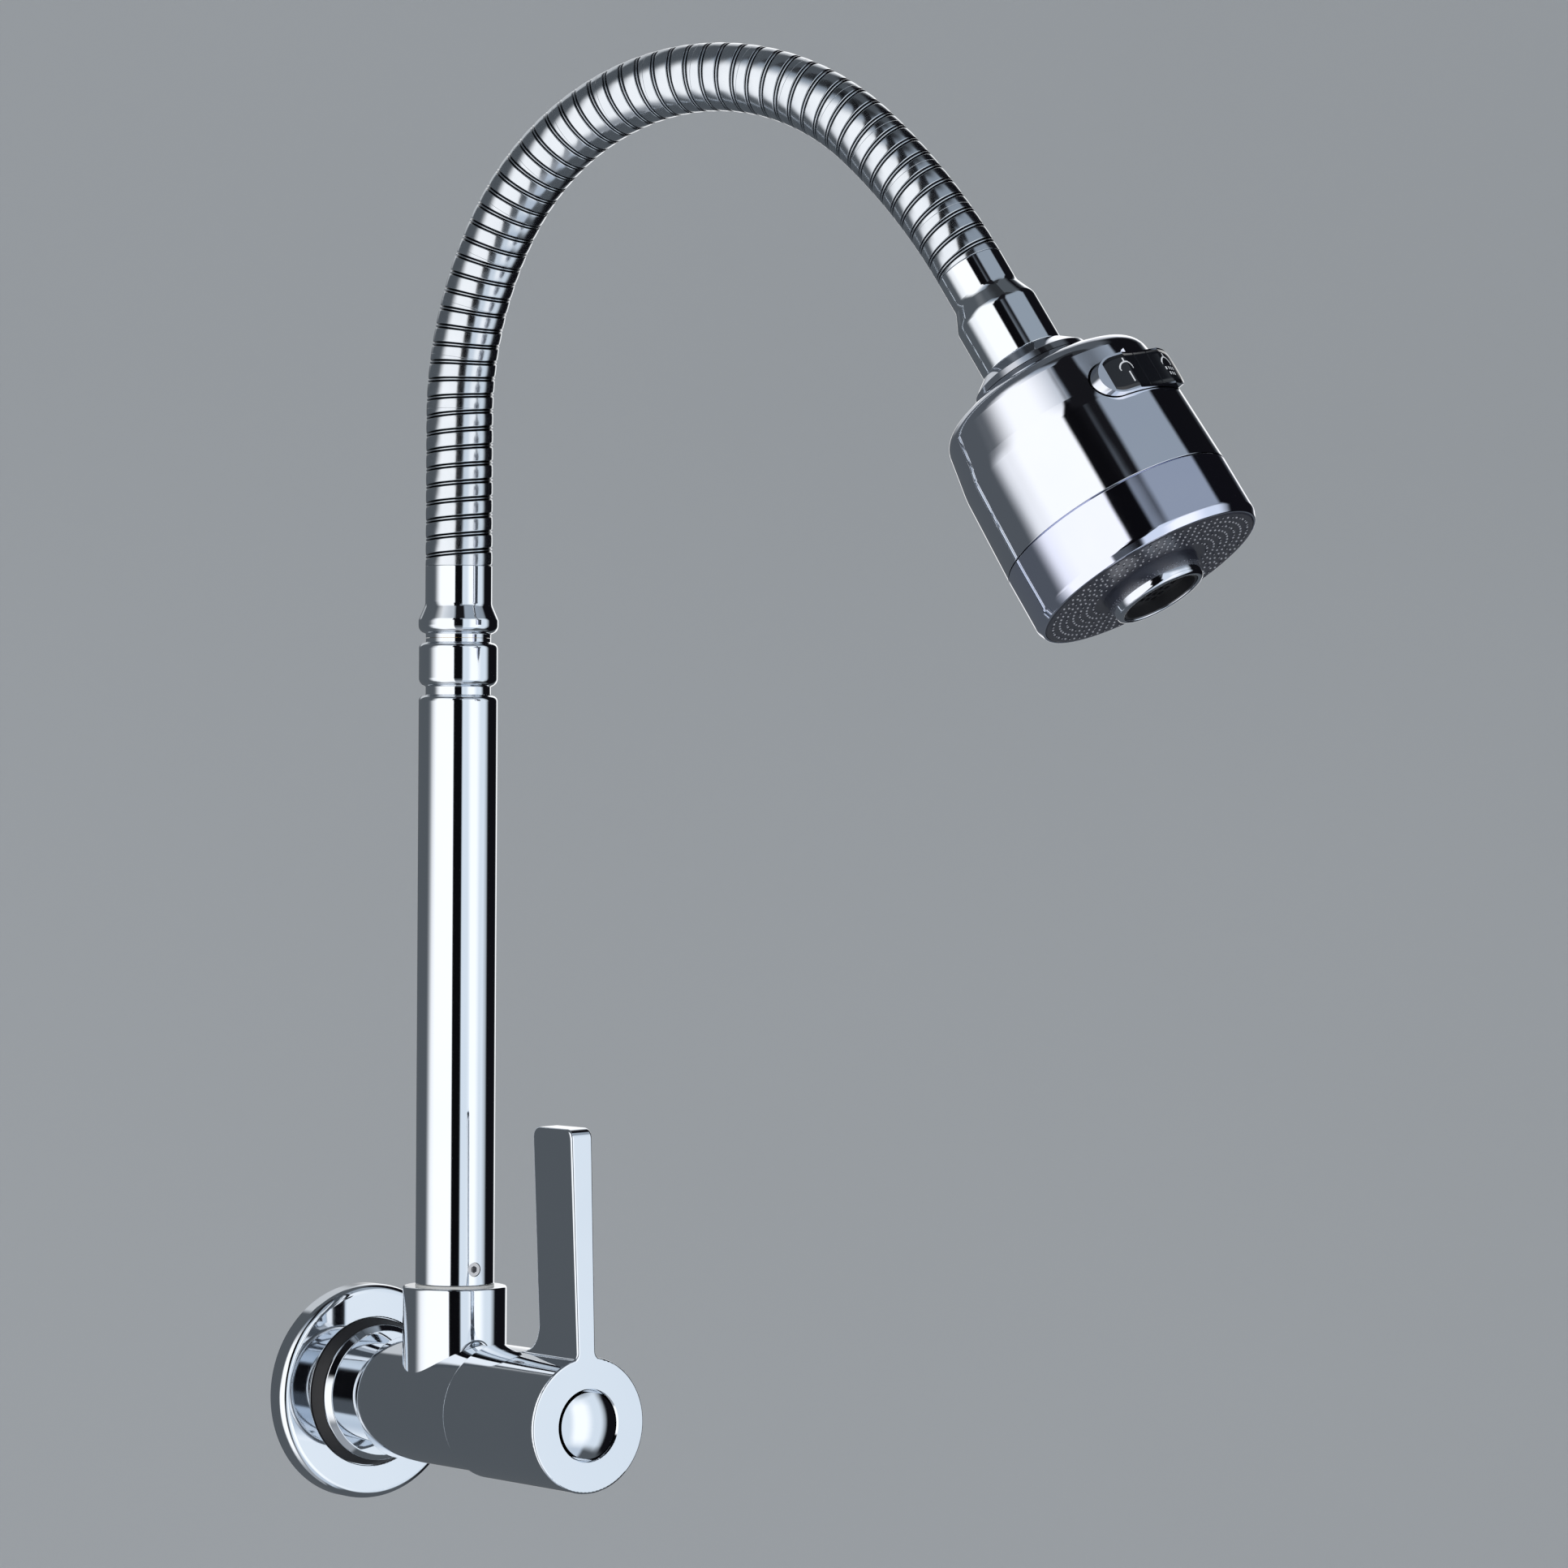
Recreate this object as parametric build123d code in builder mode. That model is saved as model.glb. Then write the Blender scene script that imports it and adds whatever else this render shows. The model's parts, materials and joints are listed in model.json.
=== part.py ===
from build123d import *
from math import asin, cos, degrees, pi, radians, sin, sqrt
import os

# Wall mounted kitchen tap with a bendable ribbed neck and a two-way spray head.
# Millimetres. The origin is on the inlet axis in the wall plane, +Y points into
# the wall, +Z is up and the room is at negative Y.

os.makedirs("parts", exist_ok=True)

# Clearances that every fit below is made from
SEAT_GAP = 0.2
RUN_GAP = 0.05
BODY_GAP = 0.3
HAIR_GAP = 0.1

# Inlet and wall flange, heights counted from the wall towards the room
THREAD_R = 10.4775
THREAD_LENGTH = 20.0
INLET_BORE_R = 7.2
INLET_HEX_R = 13.0
INLET_HEX_START = 0.5
NECK_START = 3.0
NECK_R = 14.0
SOCKET_DEPTH = 15.0
FLANGE_R = 30.5
FLANGE_RIM = 6.5
FLANGE_EDGE_ROUND = 2.3
FLANGE_LEDGE_WIDTH = 7.1
FLANGE_LEDGE_DEPTH = 1.2
FLANGE_WALL = 2.0
SEAL_RISE = 3.2
SEAL_TAPER = 1.9
NECK_COLLAR_RIM = 0.9
NECK_COLLAR_LENGTH = 2.3
NECK_COLLAR_TAPER = 1.6
GASKET_WIDTH = 5.0
GASKET_THICKNESS = 1.5
STRAINER_DEPTH = 3.0

# Valve body, with the spout socket that stands on it
BODY_BACK = 23.5
BODY_R = 17.4
BODY_BACK_ROUND = 1.2
BODY_LENGTH = 44.1
SPOUT_FROM_BACK = 23.6
SEAT_FROM_BACK = 14.5
SPIGOT_R = 14.5
SPIGOT_LENGTH = 6.4
WATERWAY_R = 7.0
CHAMBER_R = 11.5
EDGE_ROUND = 0.6
COLLAR_R = 14.5
COLLAR_RISE = 15.8
PORT_R = 6.5
SWIVEL_DEPTH = 16.2
SWIVEL_R = 10.1
CLIP_DOWN = 4.8
CLIP_THICKNESS = 1.2
CLIP_DEPTH = 0.75
CLIP_MOUTH = 40.0
SLIP_THICKNESS = 0.5

# Quarter turn cartridge
DISC_R = 8.2
DISC_THICKNESS = 3.0
SEAL_THICKNESS = 1.6
NOSE_WALL = 1.2
NOSE_LENGTH = 19.0
SPINDLE_R = 3.95
SPINDLE_SHOULDER = 16.0
SPINDLE_SHOULDER_LENGTH = 3.2
SPINDLE_TAIL = 12.0
HOUSING_FLANGE_R = 13.4
HOUSING_FLANGE = 4.5
HOUSING_NECK_R = 9.0
HOUSING_NECK = 12.0
WINDOW_LENGTH = 4.0
RING_CUT = 60.0
SPINDLE_CLIP_R = 6.4
SPINDLE_CLIP_WIDTH = 1.0
SPINDLE_GROOVE_R = 3.1

# Handle
HANDLE_GAP = 0.4
HANDLE_LENGTH = 43.3
HANDLE_R = 18.5
HANDLE_WALL = 2.1
HANDLE_WEB_GAP = 3.0
BUTTON_R = 9.0
BUTTON_GAP = 0.6
BUTTON_WELL = 8.8
BUTTON_CROWN = 2.2
BUTTON_WALL = 1.3
BUTTON_SKIRT = 1.9
WELL_EDGE = 0.4
SCREW_R = 2.0
SCREW_HEAD_R = 3.6
SCREW_HEAD = 2.5
LEVER_TOP = 80.4
LEVER_FOOT_WIDTH = 5.8
LEVER_TOP_WIDTH = 7.0
LEVER_DEPTH = 18.2
LEVER_LEAN = 2.0
LEVER_HEEL_ROUND = 9.0
LEVER_TOP_ROUND = 2.8
LEVER_FOOT_ROUND = 2.2
LEVER_EDGE_ROUND = 0.7

# Spout tube
TUBE_R = 11.0
TUBE_WALL = 1.2
TUBE_LENGTH = 180.1
BAND_HEIGHT = 14.7
GROOVE_WIDTH = 2.4
GROOVE_DEPTH = 1.9
SHOULDER_BELOW = 0.2
SHOULDER_BELOW_ROUND = 1.6
SHOULDER_ABOVE = 1.0
SHOULDER_ABOVE_ROUND = 2.2
ROLL_THINNING = 0.2
ROLL_SPREAD = 0.6
GRUB_UP = 4.6
GRUB_R = 1.9
GRUB_LENGTH = 3.2
GRUB_TURN = -4.6
NIPPLE_REACH = 13.2
FLARE_R = 11.15
FLARE_ROUND = 2.3
FLARE_SHOULDER = 0.9
FLARE_BEAD = 3.0
FLARE_TAPER = 4.3
FERRULE_LENGTH = 10.8
CONNECTOR_BORE = 3.2
CONNECTOR_DOWN = 10.0
CONNECTOR_BARB = 6.0
CONNECTOR_TAIL = 4.0

# Ribbed neck: straight foot, then three arcs in the plane of the spout
SPOUT_TURN = 24.3
HOSE_R = 9.3
RIB_DEPTH = 1.1
HOSE_BORE_R = 6.6
RIB_COUNT = 57
FOOT_RIBS = 9
FOOT_TAIL = 8.0
FOOT_OVERLAP = 0.5
LINK_RIBS = 3
CREST_WIDTH = 3.45
CREST_BEVEL = 0.25
FOOT_STRAIGHT = 41.5
ARCH_RADII = (108.0, 73.5, 175.0)
ARCH_TURNS = (30.3, 101.5, 15.7)
BALL_R = 7.9
BALL_REACH = 2.8
BALL_ROOT = 1.2
SOCKET_GAP = 0.25
INNER_HOSE_R = 5.5
INNER_HOSE_WALL = 1.3

# Head, heights counted along its axis from the end of the hose
HEAD_TURN = 14.5
ADAPTER_SMALL = 9.5
ADAPTER_TAPER = 5.3
ADAPTER_BODY = 15.2
ADAPTER_R = 11.6
STUD_R = 7.6
STUD_LENGTH = 11.0
STUD_SEAL_UP = 3.4
STUD_CLIP_UP = 8.2
STUD_CLIP_WIDTH = 1.2
STUD_CLIP_R = 10.4
SPIGOT_REACH = 8.0
RING_R = 17.0
RING_LENGTH = 5.6
RING_SPIGOT_R = 13.8
HEAD_WALL = 1.8
DOME_R = 29.3
DOME_RISE = 5.4
WAIST_R = 31.6
WAIST_FALL = 15.0
WAIST_ROUND = 30.0
SEAM_R = 32.5
SEAM_FALL = 24.7
SEAM_WIDTH = 0.3
LOWER_LENGTH = 17.8
LIP_LENGTH = 3.0
FACE_R = 31.0
FACE_THICKNESS = 4.0
AERATOR_R = 12.8
AERATOR_BORE = 11.0
AERATOR_EDGE = 1.0
AERATOR_PROUD = 6.3
AERATOR_WELL = 3.3
AERATOR_INSERT = 3.4
AERATOR_SLEEVE = 0.7
CORE_R = 12.0
CORE_BORE_R = 5.0
CORE_FLANGE_UP = 12.5
CORE_FLANGE_THICKNESS = 3.0
NOZZLE_R = 0.3
NOZZLE_HEIGHT = 0.2
NOZZLE_FIRST_R = 17.0
NOZZLE_RING_GAP = 4.0
NOZZLE_RING_COUNT = 4
NOZZLE_STEP = 4.8

# Diverter rocker, placed along the head from the collar's end
ROCKER_FALL = 18.6
ROCKER_LENGTH = 34.0
ROCKER_WIDTH = 11.0
ROCKER_R = 33.8
ROCKER_THICKNESS = 3.4
ROCKER_SCOOP = 1.3
PIN_R = 1.25
PIN_AT = 27.6
PIN_OVERHANG = 2.0
HUB_R = 2.6
SPOOL_R = 4.0
SPOOL_AT = 19.0
SPOOL_LENGTH = 22.0
SPOOL_TRAVEL = 1.1
LUG_R = 1.5

# Derived places along the valve
BODY_FRONT = BODY_BACK + BODY_LENGTH
SPOUT_OUT = BODY_BACK + SPOUT_FROM_BACK
SEAT_FLOOR = BODY_BACK + SEAT_FROM_BACK
BODY_FACE = BODY_FRONT + SPIGOT_LENGTH
HOUSING_END = BODY_FACE + HOUSING_NECK
SPINDLE_END = HOUSING_END + SPINDLE_TAIL
HANDLE_BACK = BODY_FRONT + HANDLE_GAP
HANDLE_FRONT = HANDLE_BACK + HANDLE_LENGTH
HANDLE_WEB_BACK = HOUSING_END + HANDLE_WEB_GAP

# Derived places up the spout
COLLAR_TOP = BODY_R + COLLAR_RISE
SWIVEL_FLOOR = COLLAR_TOP - SWIVEL_DEPTH
CLIP_HEIGHT = COLLAR_TOP - CLIP_DOWN
TUBE_FOOT = COLLAR_TOP + SLIP_THICKNESS + HAIR_GAP
GRUB_HEIGHT = TUBE_FOOT + GRUB_UP
NIPPLE_TOP = TUBE_FOOT + NIPPLE_REACH
TUBE_JOIN = TUBE_FOOT + TUBE_LENGTH
GROOVE_HIGH = TUBE_JOIN
GROOVE_LOW = GROOVE_HIGH - BAND_HEIGHT
GROOVE_HALF = GROOVE_WIDTH / 2
FLARE_LOW = GROOVE_HIGH + GROOVE_HALF + FLARE_SHOULDER
FLARE_TOP = FLARE_LOW + FLARE_BEAD
FERRULE_START = FLARE_TOP + FLARE_TAPER
HOSE_START = FERRULE_START + FERRULE_LENGTH
CONNECTOR_TOP = HOSE_START - CONNECTOR_DOWN

# Derived places along the head
ADAPTER_SHOULDER = ADAPTER_SMALL + ADAPTER_TAPER
ADAPTER_END = ADAPTER_SHOULDER + ADAPTER_BODY
STUD_END = ADAPTER_END + STUD_LENGTH
STUD_SEAL = ADAPTER_END + STUD_SEAL_UP
STUD_CLIP = ADAPTER_END + STUD_CLIP_UP
RING_END = ADAPTER_END + RING_LENGTH
DOME_HEIGHT = RING_END + DOME_RISE
WAIST_HEIGHT = DOME_HEIGHT + WAIST_FALL
SEAM_HEIGHT = WAIST_HEIGHT + SEAM_FALL
LOWER_START = SEAM_HEIGHT + SEAM_WIDTH
LOWER_END = SEAM_HEIGHT + LOWER_LENGTH
AERATOR_END = LOWER_END + AERATOR_PROUD
CORE_FLANGE = LOWER_END - CORE_FLANGE_UP
ROCKER_HEIGHT = RING_END + ROCKER_FALL

# Derived shape of the neck
GROOVE_R = TUBE_R - GROOVE_DEPTH
HOSE_ROOT_R = HOSE_R - RIB_DEPTH
ARC_LENGTHS = [radius * radians(turn) for radius, turn in zip(ARCH_RADII, ARCH_TURNS)]
HOSE_LENGTH = FOOT_STRAIGHT + sum(ARC_LENGTHS)
RIB_PITCH = HOSE_LENGTH / RIB_COUNT
LINK_COUNT = (RIB_COUNT - FOOT_RIBS) // LINK_RIBS
SPOUT_WAY = Vector(sin(radians(SPOUT_TURN)), -cos(radians(SPOUT_TURN)), 0)
HINGE_WAY = Vector(cos(radians(SPOUT_TURN)), sin(radians(SPOUT_TURN)), 0)
UP = Vector(0, 0, 1)
SPOUT_ORIGIN = Vector(0, -SPOUT_OUT, 0)


def arch_at(run):
    """Point and direction of the neck's centreline at a length from its foot."""
    left = min(run, FOOT_STRAIGHT)
    out = 0.0
    high = HOSE_START + left
    lean = 0.0
    rest = run - left
    for radius, length in zip(ARCH_RADII, ARC_LENGTHS):
        step = min(rest, length)
        turned = lean + step / radius
        out += radius * (cos(lean) - cos(turned))
        high += radius * (sin(turned) - sin(lean))
        lean = turned
        rest -= step
    out += rest * sin(lean)
    high += rest * cos(lean)
    way = SPOUT_WAY * sin(lean) + UP * cos(lean)
    return SPOUT_ORIGIN + SPOUT_WAY * out + UP * high, way


def across(run, shift=0.0):
    """Plane square to the neck, moved along the neck's direction there."""
    point, way = arch_at(run)
    return Plane(origin=point + way * shift, x_dir=HINGE_WAY, z_dir=way)


HOSE_END, HEAD_WAY = arch_at(HOSE_LENGTH)
HEAD_OUT = HEAD_WAY.cross(HINGE_WAY)
TURN = radians(90 + HEAD_TURN)
ROCKER_WAY = HINGE_WAY * cos(TURN) + HEAD_OUT * sin(TURN)
ROCKER_SIDE = HEAD_WAY.cross(ROCKER_WAY)

# Half planes that hold the turned outlines: radius along x, height along y
WALL_SIDE = Plane(origin=(0, 0, 0), x_dir=(1, 0, 0), z_dir=(0, 0, -1))
SPOUT_SIDE = Plane(origin=SPOUT_ORIGIN, x_dir=(1, 0, 0), z_dir=(0, -1, 0))
HEAD_SIDE = Plane(origin=HOSE_END, x_dir=HINGE_WAY, z_dir=HINGE_WAY.cross(HEAD_WAY))


def turned(side, outline, mode=Mode.ADD):
    """Revolve an outline of (radius, height, rounding) points about the side's height axis."""
    corners = [(radius, height) for radius, height, _ in outline]
    rounds = [rounding for _, _, rounding in outline]
    with BuildSketch(side) as profile:
        with BuildLine():
            FilletPolyline(*corners, radius=rounds, close=True)
        make_face()
    revolve(profile.sketch, axis=Axis(side.origin, side.y_dir), mode=mode)


def ring(side, inner, outer, low, high, mode=Mode.ADD, edge=0.0):
    """Plain turned ring between two radii and two heights."""
    outline = [(inner, low, 0), (outer, low, edge), (outer, high, edge), (inner, high, 0)]
    turned(side, outline, mode)


def cord_ring(side, middle, section, height, mode=Mode.ADD):
    """Round section ring, such as an O-ring."""
    with BuildSketch(side) as profile:
        with Locations((middle, height)):
            Circle(section)
    revolve(profile.sketch, axis=Axis(side.origin, side.y_dir), mode=mode)


def save(piece, name):
    """Label a finished piece and write it under its own name."""
    piece.part.label = name
    export_step(piece.part, "parts/" + name + ".step")


# Wall flange: a turned rose with a ledge round the neck for the soft ring
FLANGE_BORE_R = NECK_R + SEAT_GAP
FLANGE_MOUTH_R = NECK_R + FLANGE_LEDGE_WIDTH
FLANGE_LEDGE = FLANGE_RIM - FLANGE_LEDGE_DEPTH
GASKET_R = FLANGE_R - FLANGE_WALL
HOLLOW = FLANGE_LEDGE - FLANGE_WALL
with BuildPart() as wall_flange:
    turned(
        WALL_SIDE,
        [
            (FLANGE_R, 0, 0),
            (FLANGE_R, FLANGE_RIM, FLANGE_EDGE_ROUND),
            (FLANGE_MOUTH_R, FLANGE_RIM, 0.3),
            (FLANGE_MOUTH_R, FLANGE_LEDGE, 0),
            (FLANGE_BORE_R, FLANGE_LEDGE, 0),
            (FLANGE_BORE_R, HOLLOW, 0),
            (GASKET_R - GASKET_WIDTH, HOLLOW, 0),
            (GASKET_R - GASKET_WIDTH, GASKET_THICKNESS, 0),
            (GASKET_R, GASKET_THICKNESS, 0),
            (GASKET_R, 0, 0),
        ],
    )
save(wall_flange, "wall_flange")

# Soft ring that seals the flange to the tiles
with BuildPart() as flange_gasket:
    gasket_inner = GASKET_R - GASKET_WIDTH + SEAT_GAP
    ring(WALL_SIDE, gasket_inner, GASKET_R - SEAT_GAP, 0, GASKET_THICKNESS)
save(flange_gasket, "flange_gasket")

# Soft ring between the flange's ledge and the collar on the body's neck
NECK_COLLAR_BACK = FLANGE_RIM + SEAL_RISE
NECK_COLLAR_R = FLANGE_MOUTH_R - SEAL_TAPER
NECK_COLLAR_FRONT = NECK_COLLAR_BACK + NECK_COLLAR_LENGTH
with BuildPart() as flange_seal:
    turned(
        WALL_SIDE,
        [
            (FLANGE_BORE_R, FLANGE_LEDGE, 0),
            (FLANGE_MOUTH_R - SEAT_GAP, FLANGE_LEDGE, 0),
            (FLANGE_MOUTH_R - SEAT_GAP, FLANGE_RIM, 0.2),
            (NECK_COLLAR_R, NECK_COLLAR_BACK, 0),
            (FLANGE_BORE_R, NECK_COLLAR_BACK, 0),
        ],
    )
save(flange_seal, "flange_seal")

# Threaded inlet that screws into the pipe in the wall
NIPPLE_BACK_R = THREAD_R - HAIR_GAP
NIPPLE_BACK_END = NECK_START + SOCKET_DEPTH - HAIR_GAP
with BuildPart() as inlet_nipple:
    turned(
        WALL_SIDE,
        [
            (INLET_BORE_R, -THREAD_LENGTH, 0),
            (THREAD_R - 0.8, -THREAD_LENGTH, 0),
            (THREAD_R, -THREAD_LENGTH + 0.8, 0),
            (THREAD_R, INLET_HEX_START, 0),
            (NIPPLE_BACK_R, INLET_HEX_START, 0),
            (NIPPLE_BACK_R, NIPPLE_BACK_END, 0),
            (INLET_BORE_R, NIPPLE_BACK_END, 0),
        ],
    )
    with BuildSketch(Plane.XZ.offset(INLET_HEX_START)):
        RegularPolygon(INLET_HEX_R, 6)
        Circle(NIPPLE_BACK_R, mode=Mode.SUBTRACT)
    extrude(amount=NECK_START - INLET_HEX_START)
save(inlet_nipple, "inlet_nipple")

# Cup of fine mesh in the mouth of the inlet
STRAINER_R = INLET_BORE_R - RUN_GAP
with BuildPart() as inlet_strainer:
    strainer_floor = -THREAD_LENGTH + STRAINER_DEPTH
    ring(WALL_SIDE, STRAINER_R - 1.0, STRAINER_R, -THREAD_LENGTH + 0.5, strainer_floor)
    with BuildSketch(Plane.XZ.offset(strainer_floor)):
        Circle(STRAINER_R)
        with GridLocations(2.4, 2.4, 4, 4):
            Rectangle(1.4, 1.4, mode=Mode.SUBTRACT)
    extrude(amount=0.8)
save(inlet_strainer, "inlet_strainer")

# Cast valve body: neck, barrel, front spigot and the upright spout socket
CLIP_GROOVE_R = SWIVEL_R + CLIP_DEPTH + SEAT_GAP
BODY_SOCKET_R = THREAD_R - HAIR_GAP + RUN_GAP
with BuildPart() as valve_body:
    turned(
        WALL_SIDE,
        [
            (0, NECK_START, 0),
            (NECK_R, NECK_START, 0.4),
            (NECK_R, NECK_COLLAR_BACK, 0),
            (NECK_COLLAR_R, NECK_COLLAR_BACK, 0.4),
            (NECK_COLLAR_R, NECK_COLLAR_BACK + NECK_COLLAR_RIM, 0.3),
            (NECK_COLLAR_R - NECK_COLLAR_TAPER, NECK_COLLAR_FRONT, 0.5),
            (NECK_R, NECK_COLLAR_FRONT, 0),
            (NECK_R, BODY_BACK, 0),
            (BODY_R, BODY_BACK, BODY_BACK_ROUND),
            (BODY_R, BODY_FRONT, EDGE_ROUND),
            (SPIGOT_R, BODY_FRONT, 0),
            (SPIGOT_R, BODY_FACE, 0.5),
            (0, BODY_FACE, 0),
        ],
    )
    ring(SPOUT_SIDE, 0, COLLAR_R, 0, COLLAR_TOP, edge=EDGE_ROUND)
    ring(WALL_SIDE, 0, BODY_SOCKET_R, NECK_START, NECK_START + SOCKET_DEPTH, Mode.SUBTRACT)
    ring(WALL_SIDE, 0, WATERWAY_R, NECK_START, SEAT_FLOOR + 1, Mode.SUBTRACT)
    ring(WALL_SIDE, 0, CHAMBER_R, SEAT_FLOOR, BODY_FACE, Mode.SUBTRACT)
    ring(SPOUT_SIDE, 0, PORT_R, 0, SWIVEL_FLOOR + 1, Mode.SUBTRACT)
    ring(SPOUT_SIDE, 0, SWIVEL_R, SWIVEL_FLOOR, COLLAR_TOP + 1, Mode.SUBTRACT)
    clip_low = CLIP_HEIGHT - HAIR_GAP
    clip_high = CLIP_HEIGHT + CLIP_THICKNESS + HAIR_GAP
    ring(SPOUT_SIDE, 0, CLIP_GROOVE_R, clip_low, clip_high, Mode.SUBTRACT)
save(valve_body, "valve_body")

# Cartridge: seat ring, two ceramic discs, housing, spindle and their rings
FIXED_DISC = SEAT_FLOOR + SEAL_THICKNESS
MOVING_DISC = FIXED_DISC + DISC_THICKNESS + RUN_GAP
SPINDLE_FOOT = MOVING_DISC + DISC_THICKNESS
NOSE_R = DISC_R + SEAT_GAP + NOSE_WALL
HOUSING_R = CHAMBER_R - SEAT_GAP
NOSE_END = SEAT_FLOOR + NOSE_LENGTH
SHOULDER = SEAT_FLOOR + SPINDLE_SHOULDER
SHOULDER_END = SHOULDER + SPINDLE_SHOULDER_LENGTH
WINDOW_START = SPOUT_OUT - WINDOW_LENGTH / 2
with BuildPart() as seat_seal:
    ring(WALL_SIDE, 5.6, DISC_R, SEAT_FLOOR, FIXED_DISC)
save(seat_seal, "seat_seal")


def ceramic_disc(low):
    """Disc with two quarter ports on opposite sides."""
    ring(WALL_SIDE, 0, DISC_R, low, low + DISC_THICKNESS)
    with BuildSketch(Plane.XZ.offset(low)) as ports:
        with PolarLocations(DISC_R * 0.5, 2):
            SlotOverall(DISC_R * 0.85, DISC_R * 0.42, rotation=90)
    extrude(ports.sketch, amount=DISC_THICKNESS, mode=Mode.SUBTRACT)


with BuildPart() as fixed_disc:
    ceramic_disc(FIXED_DISC)
save(fixed_disc, "fixed_disc")

with BuildPart() as moving_disc:
    ceramic_disc(MOVING_DISC)
save(moving_disc, "moving_disc")

with BuildPart() as cartridge_housing:
    turned(
        WALL_SIDE,
        [
            (DISC_R + SEAT_GAP, SEAT_FLOOR + BODY_GAP, 0),
            (NOSE_R, SEAT_FLOOR + BODY_GAP, 0.3),
            (NOSE_R, NOSE_END, 0),
            (HOUSING_R, NOSE_END + 1.5, 0),
            (HOUSING_R, BODY_FACE, 0),
            (HOUSING_FLANGE_R, BODY_FACE, 0),
            (HOUSING_FLANGE_R, BODY_FACE + HOUSING_FLANGE, 0.5),
            (HOUSING_NECK_R, BODY_FACE + HOUSING_FLANGE, 0),
            (HOUSING_NECK_R, HOUSING_END, 0.5),
            (SPINDLE_R + RUN_GAP, HOUSING_END, 0),
            (SPINDLE_R + RUN_GAP, SHOULDER_END + BODY_GAP, 0),
            (DISC_R + SEAT_GAP, SHOULDER_END + BODY_GAP, 0),
        ],
    )
    with BuildSketch(Plane.XZ.offset(WINDOW_START)):
        Rectangle(2 * CHAMBER_R, DISC_R)
    extrude(amount=WINDOW_LENGTH, mode=Mode.SUBTRACT)
save(cartridge_housing, "cartridge_housing")

with BuildPart() as housing_seal:
    seal_section = (CHAMBER_R - NOSE_R) / 2 - RUN_GAP
    cord_ring(WALL_SIDE, (CHAMBER_R + NOSE_R) / 2, seal_section, NOSE_END - seal_section - HAIR_GAP)
save(housing_seal, "housing_seal")

SEAL_GROOVE = SHOULDER_END + 8.8
SEAL_GROOVE_WIDTH = 2.2
SEAL_GROOVE_R = SPINDLE_R - 1.05
CLIP_GROOVE = HOUSING_END + BODY_GAP
with BuildPart() as spindle:
    turned(
        WALL_SIDE,
        [
            (0, SPINDLE_FOOT, 0),
            (DISC_R - BODY_GAP, SPINDLE_FOOT, 0),
            (DISC_R - BODY_GAP, SPINDLE_FOOT + 1.6, 0),
            (4.6, SPINDLE_FOOT + 1.6, 1.0),
            (4.6, SHOULDER, 0),
            (DISC_R - BODY_GAP, SHOULDER, 0),
            (DISC_R - BODY_GAP, SHOULDER_END, 0),
            (SPINDLE_R, SHOULDER_END, 0),
            (SPINDLE_R, SPINDLE_END, 0.4),
            (SCREW_R + RUN_GAP, SPINDLE_END, 0),
            (SCREW_R + RUN_GAP, HANDLE_WEB_BACK, 0),
            (0, HANDLE_WEB_BACK, 0),
        ],
    )
    seal_end = SEAL_GROOVE + SEAL_GROOVE_WIDTH
    ring(WALL_SIDE, SEAL_GROOVE_R, SPINDLE_R + 1, SEAL_GROOVE, seal_end, Mode.SUBTRACT)
    clip_groove_end = CLIP_GROOVE + SPINDLE_CLIP_WIDTH
    ring(WALL_SIDE, SPINDLE_GROOVE_R, SPINDLE_R + 1, CLIP_GROOVE, clip_groove_end, Mode.SUBTRACT)
save(spindle, "spindle")

with BuildPart() as spindle_seal:
    cord_section = (SPINDLE_R - SEAL_GROOVE_R) / 2 - 0.01
    cord_middle = (SPINDLE_R + SEAL_GROOVE_R) / 2
    cord_ring(WALL_SIDE, cord_middle, cord_section, SEAL_GROOVE + SEAL_GROOVE_WIDTH / 2)
save(spindle_seal, "spindle_seal")


def snap_ring(side, inner, outer, low, high, mouth):
    """Flat retaining ring with an open mouth of the given angle."""
    ring(side, inner, outer, low, high)
    reach = 2 * outer
    spread = reach * sin(radians(mouth / 2))
    with BuildSketch(Plane(side.origin, x_dir=side.x_dir, z_dir=side.y_dir)) as wedge:
        with BuildLine():
            Polyline((0, 0), (reach, -spread), (reach, spread), close=True)
        make_face()
    extrude(wedge.sketch, amount=high + 1, mode=Mode.SUBTRACT)


with BuildPart() as spindle_clip:
    clip_start = CLIP_GROOVE + HAIR_GAP
    clip_stop = clip_groove_end - HAIR_GAP
    snap_ring(WALL_SIDE, SPINDLE_GROOVE_R + HAIR_GAP, SPINDLE_CLIP_R, clip_start, clip_stop, RING_CUT)
save(spindle_clip, "spindle_clip")

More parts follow.
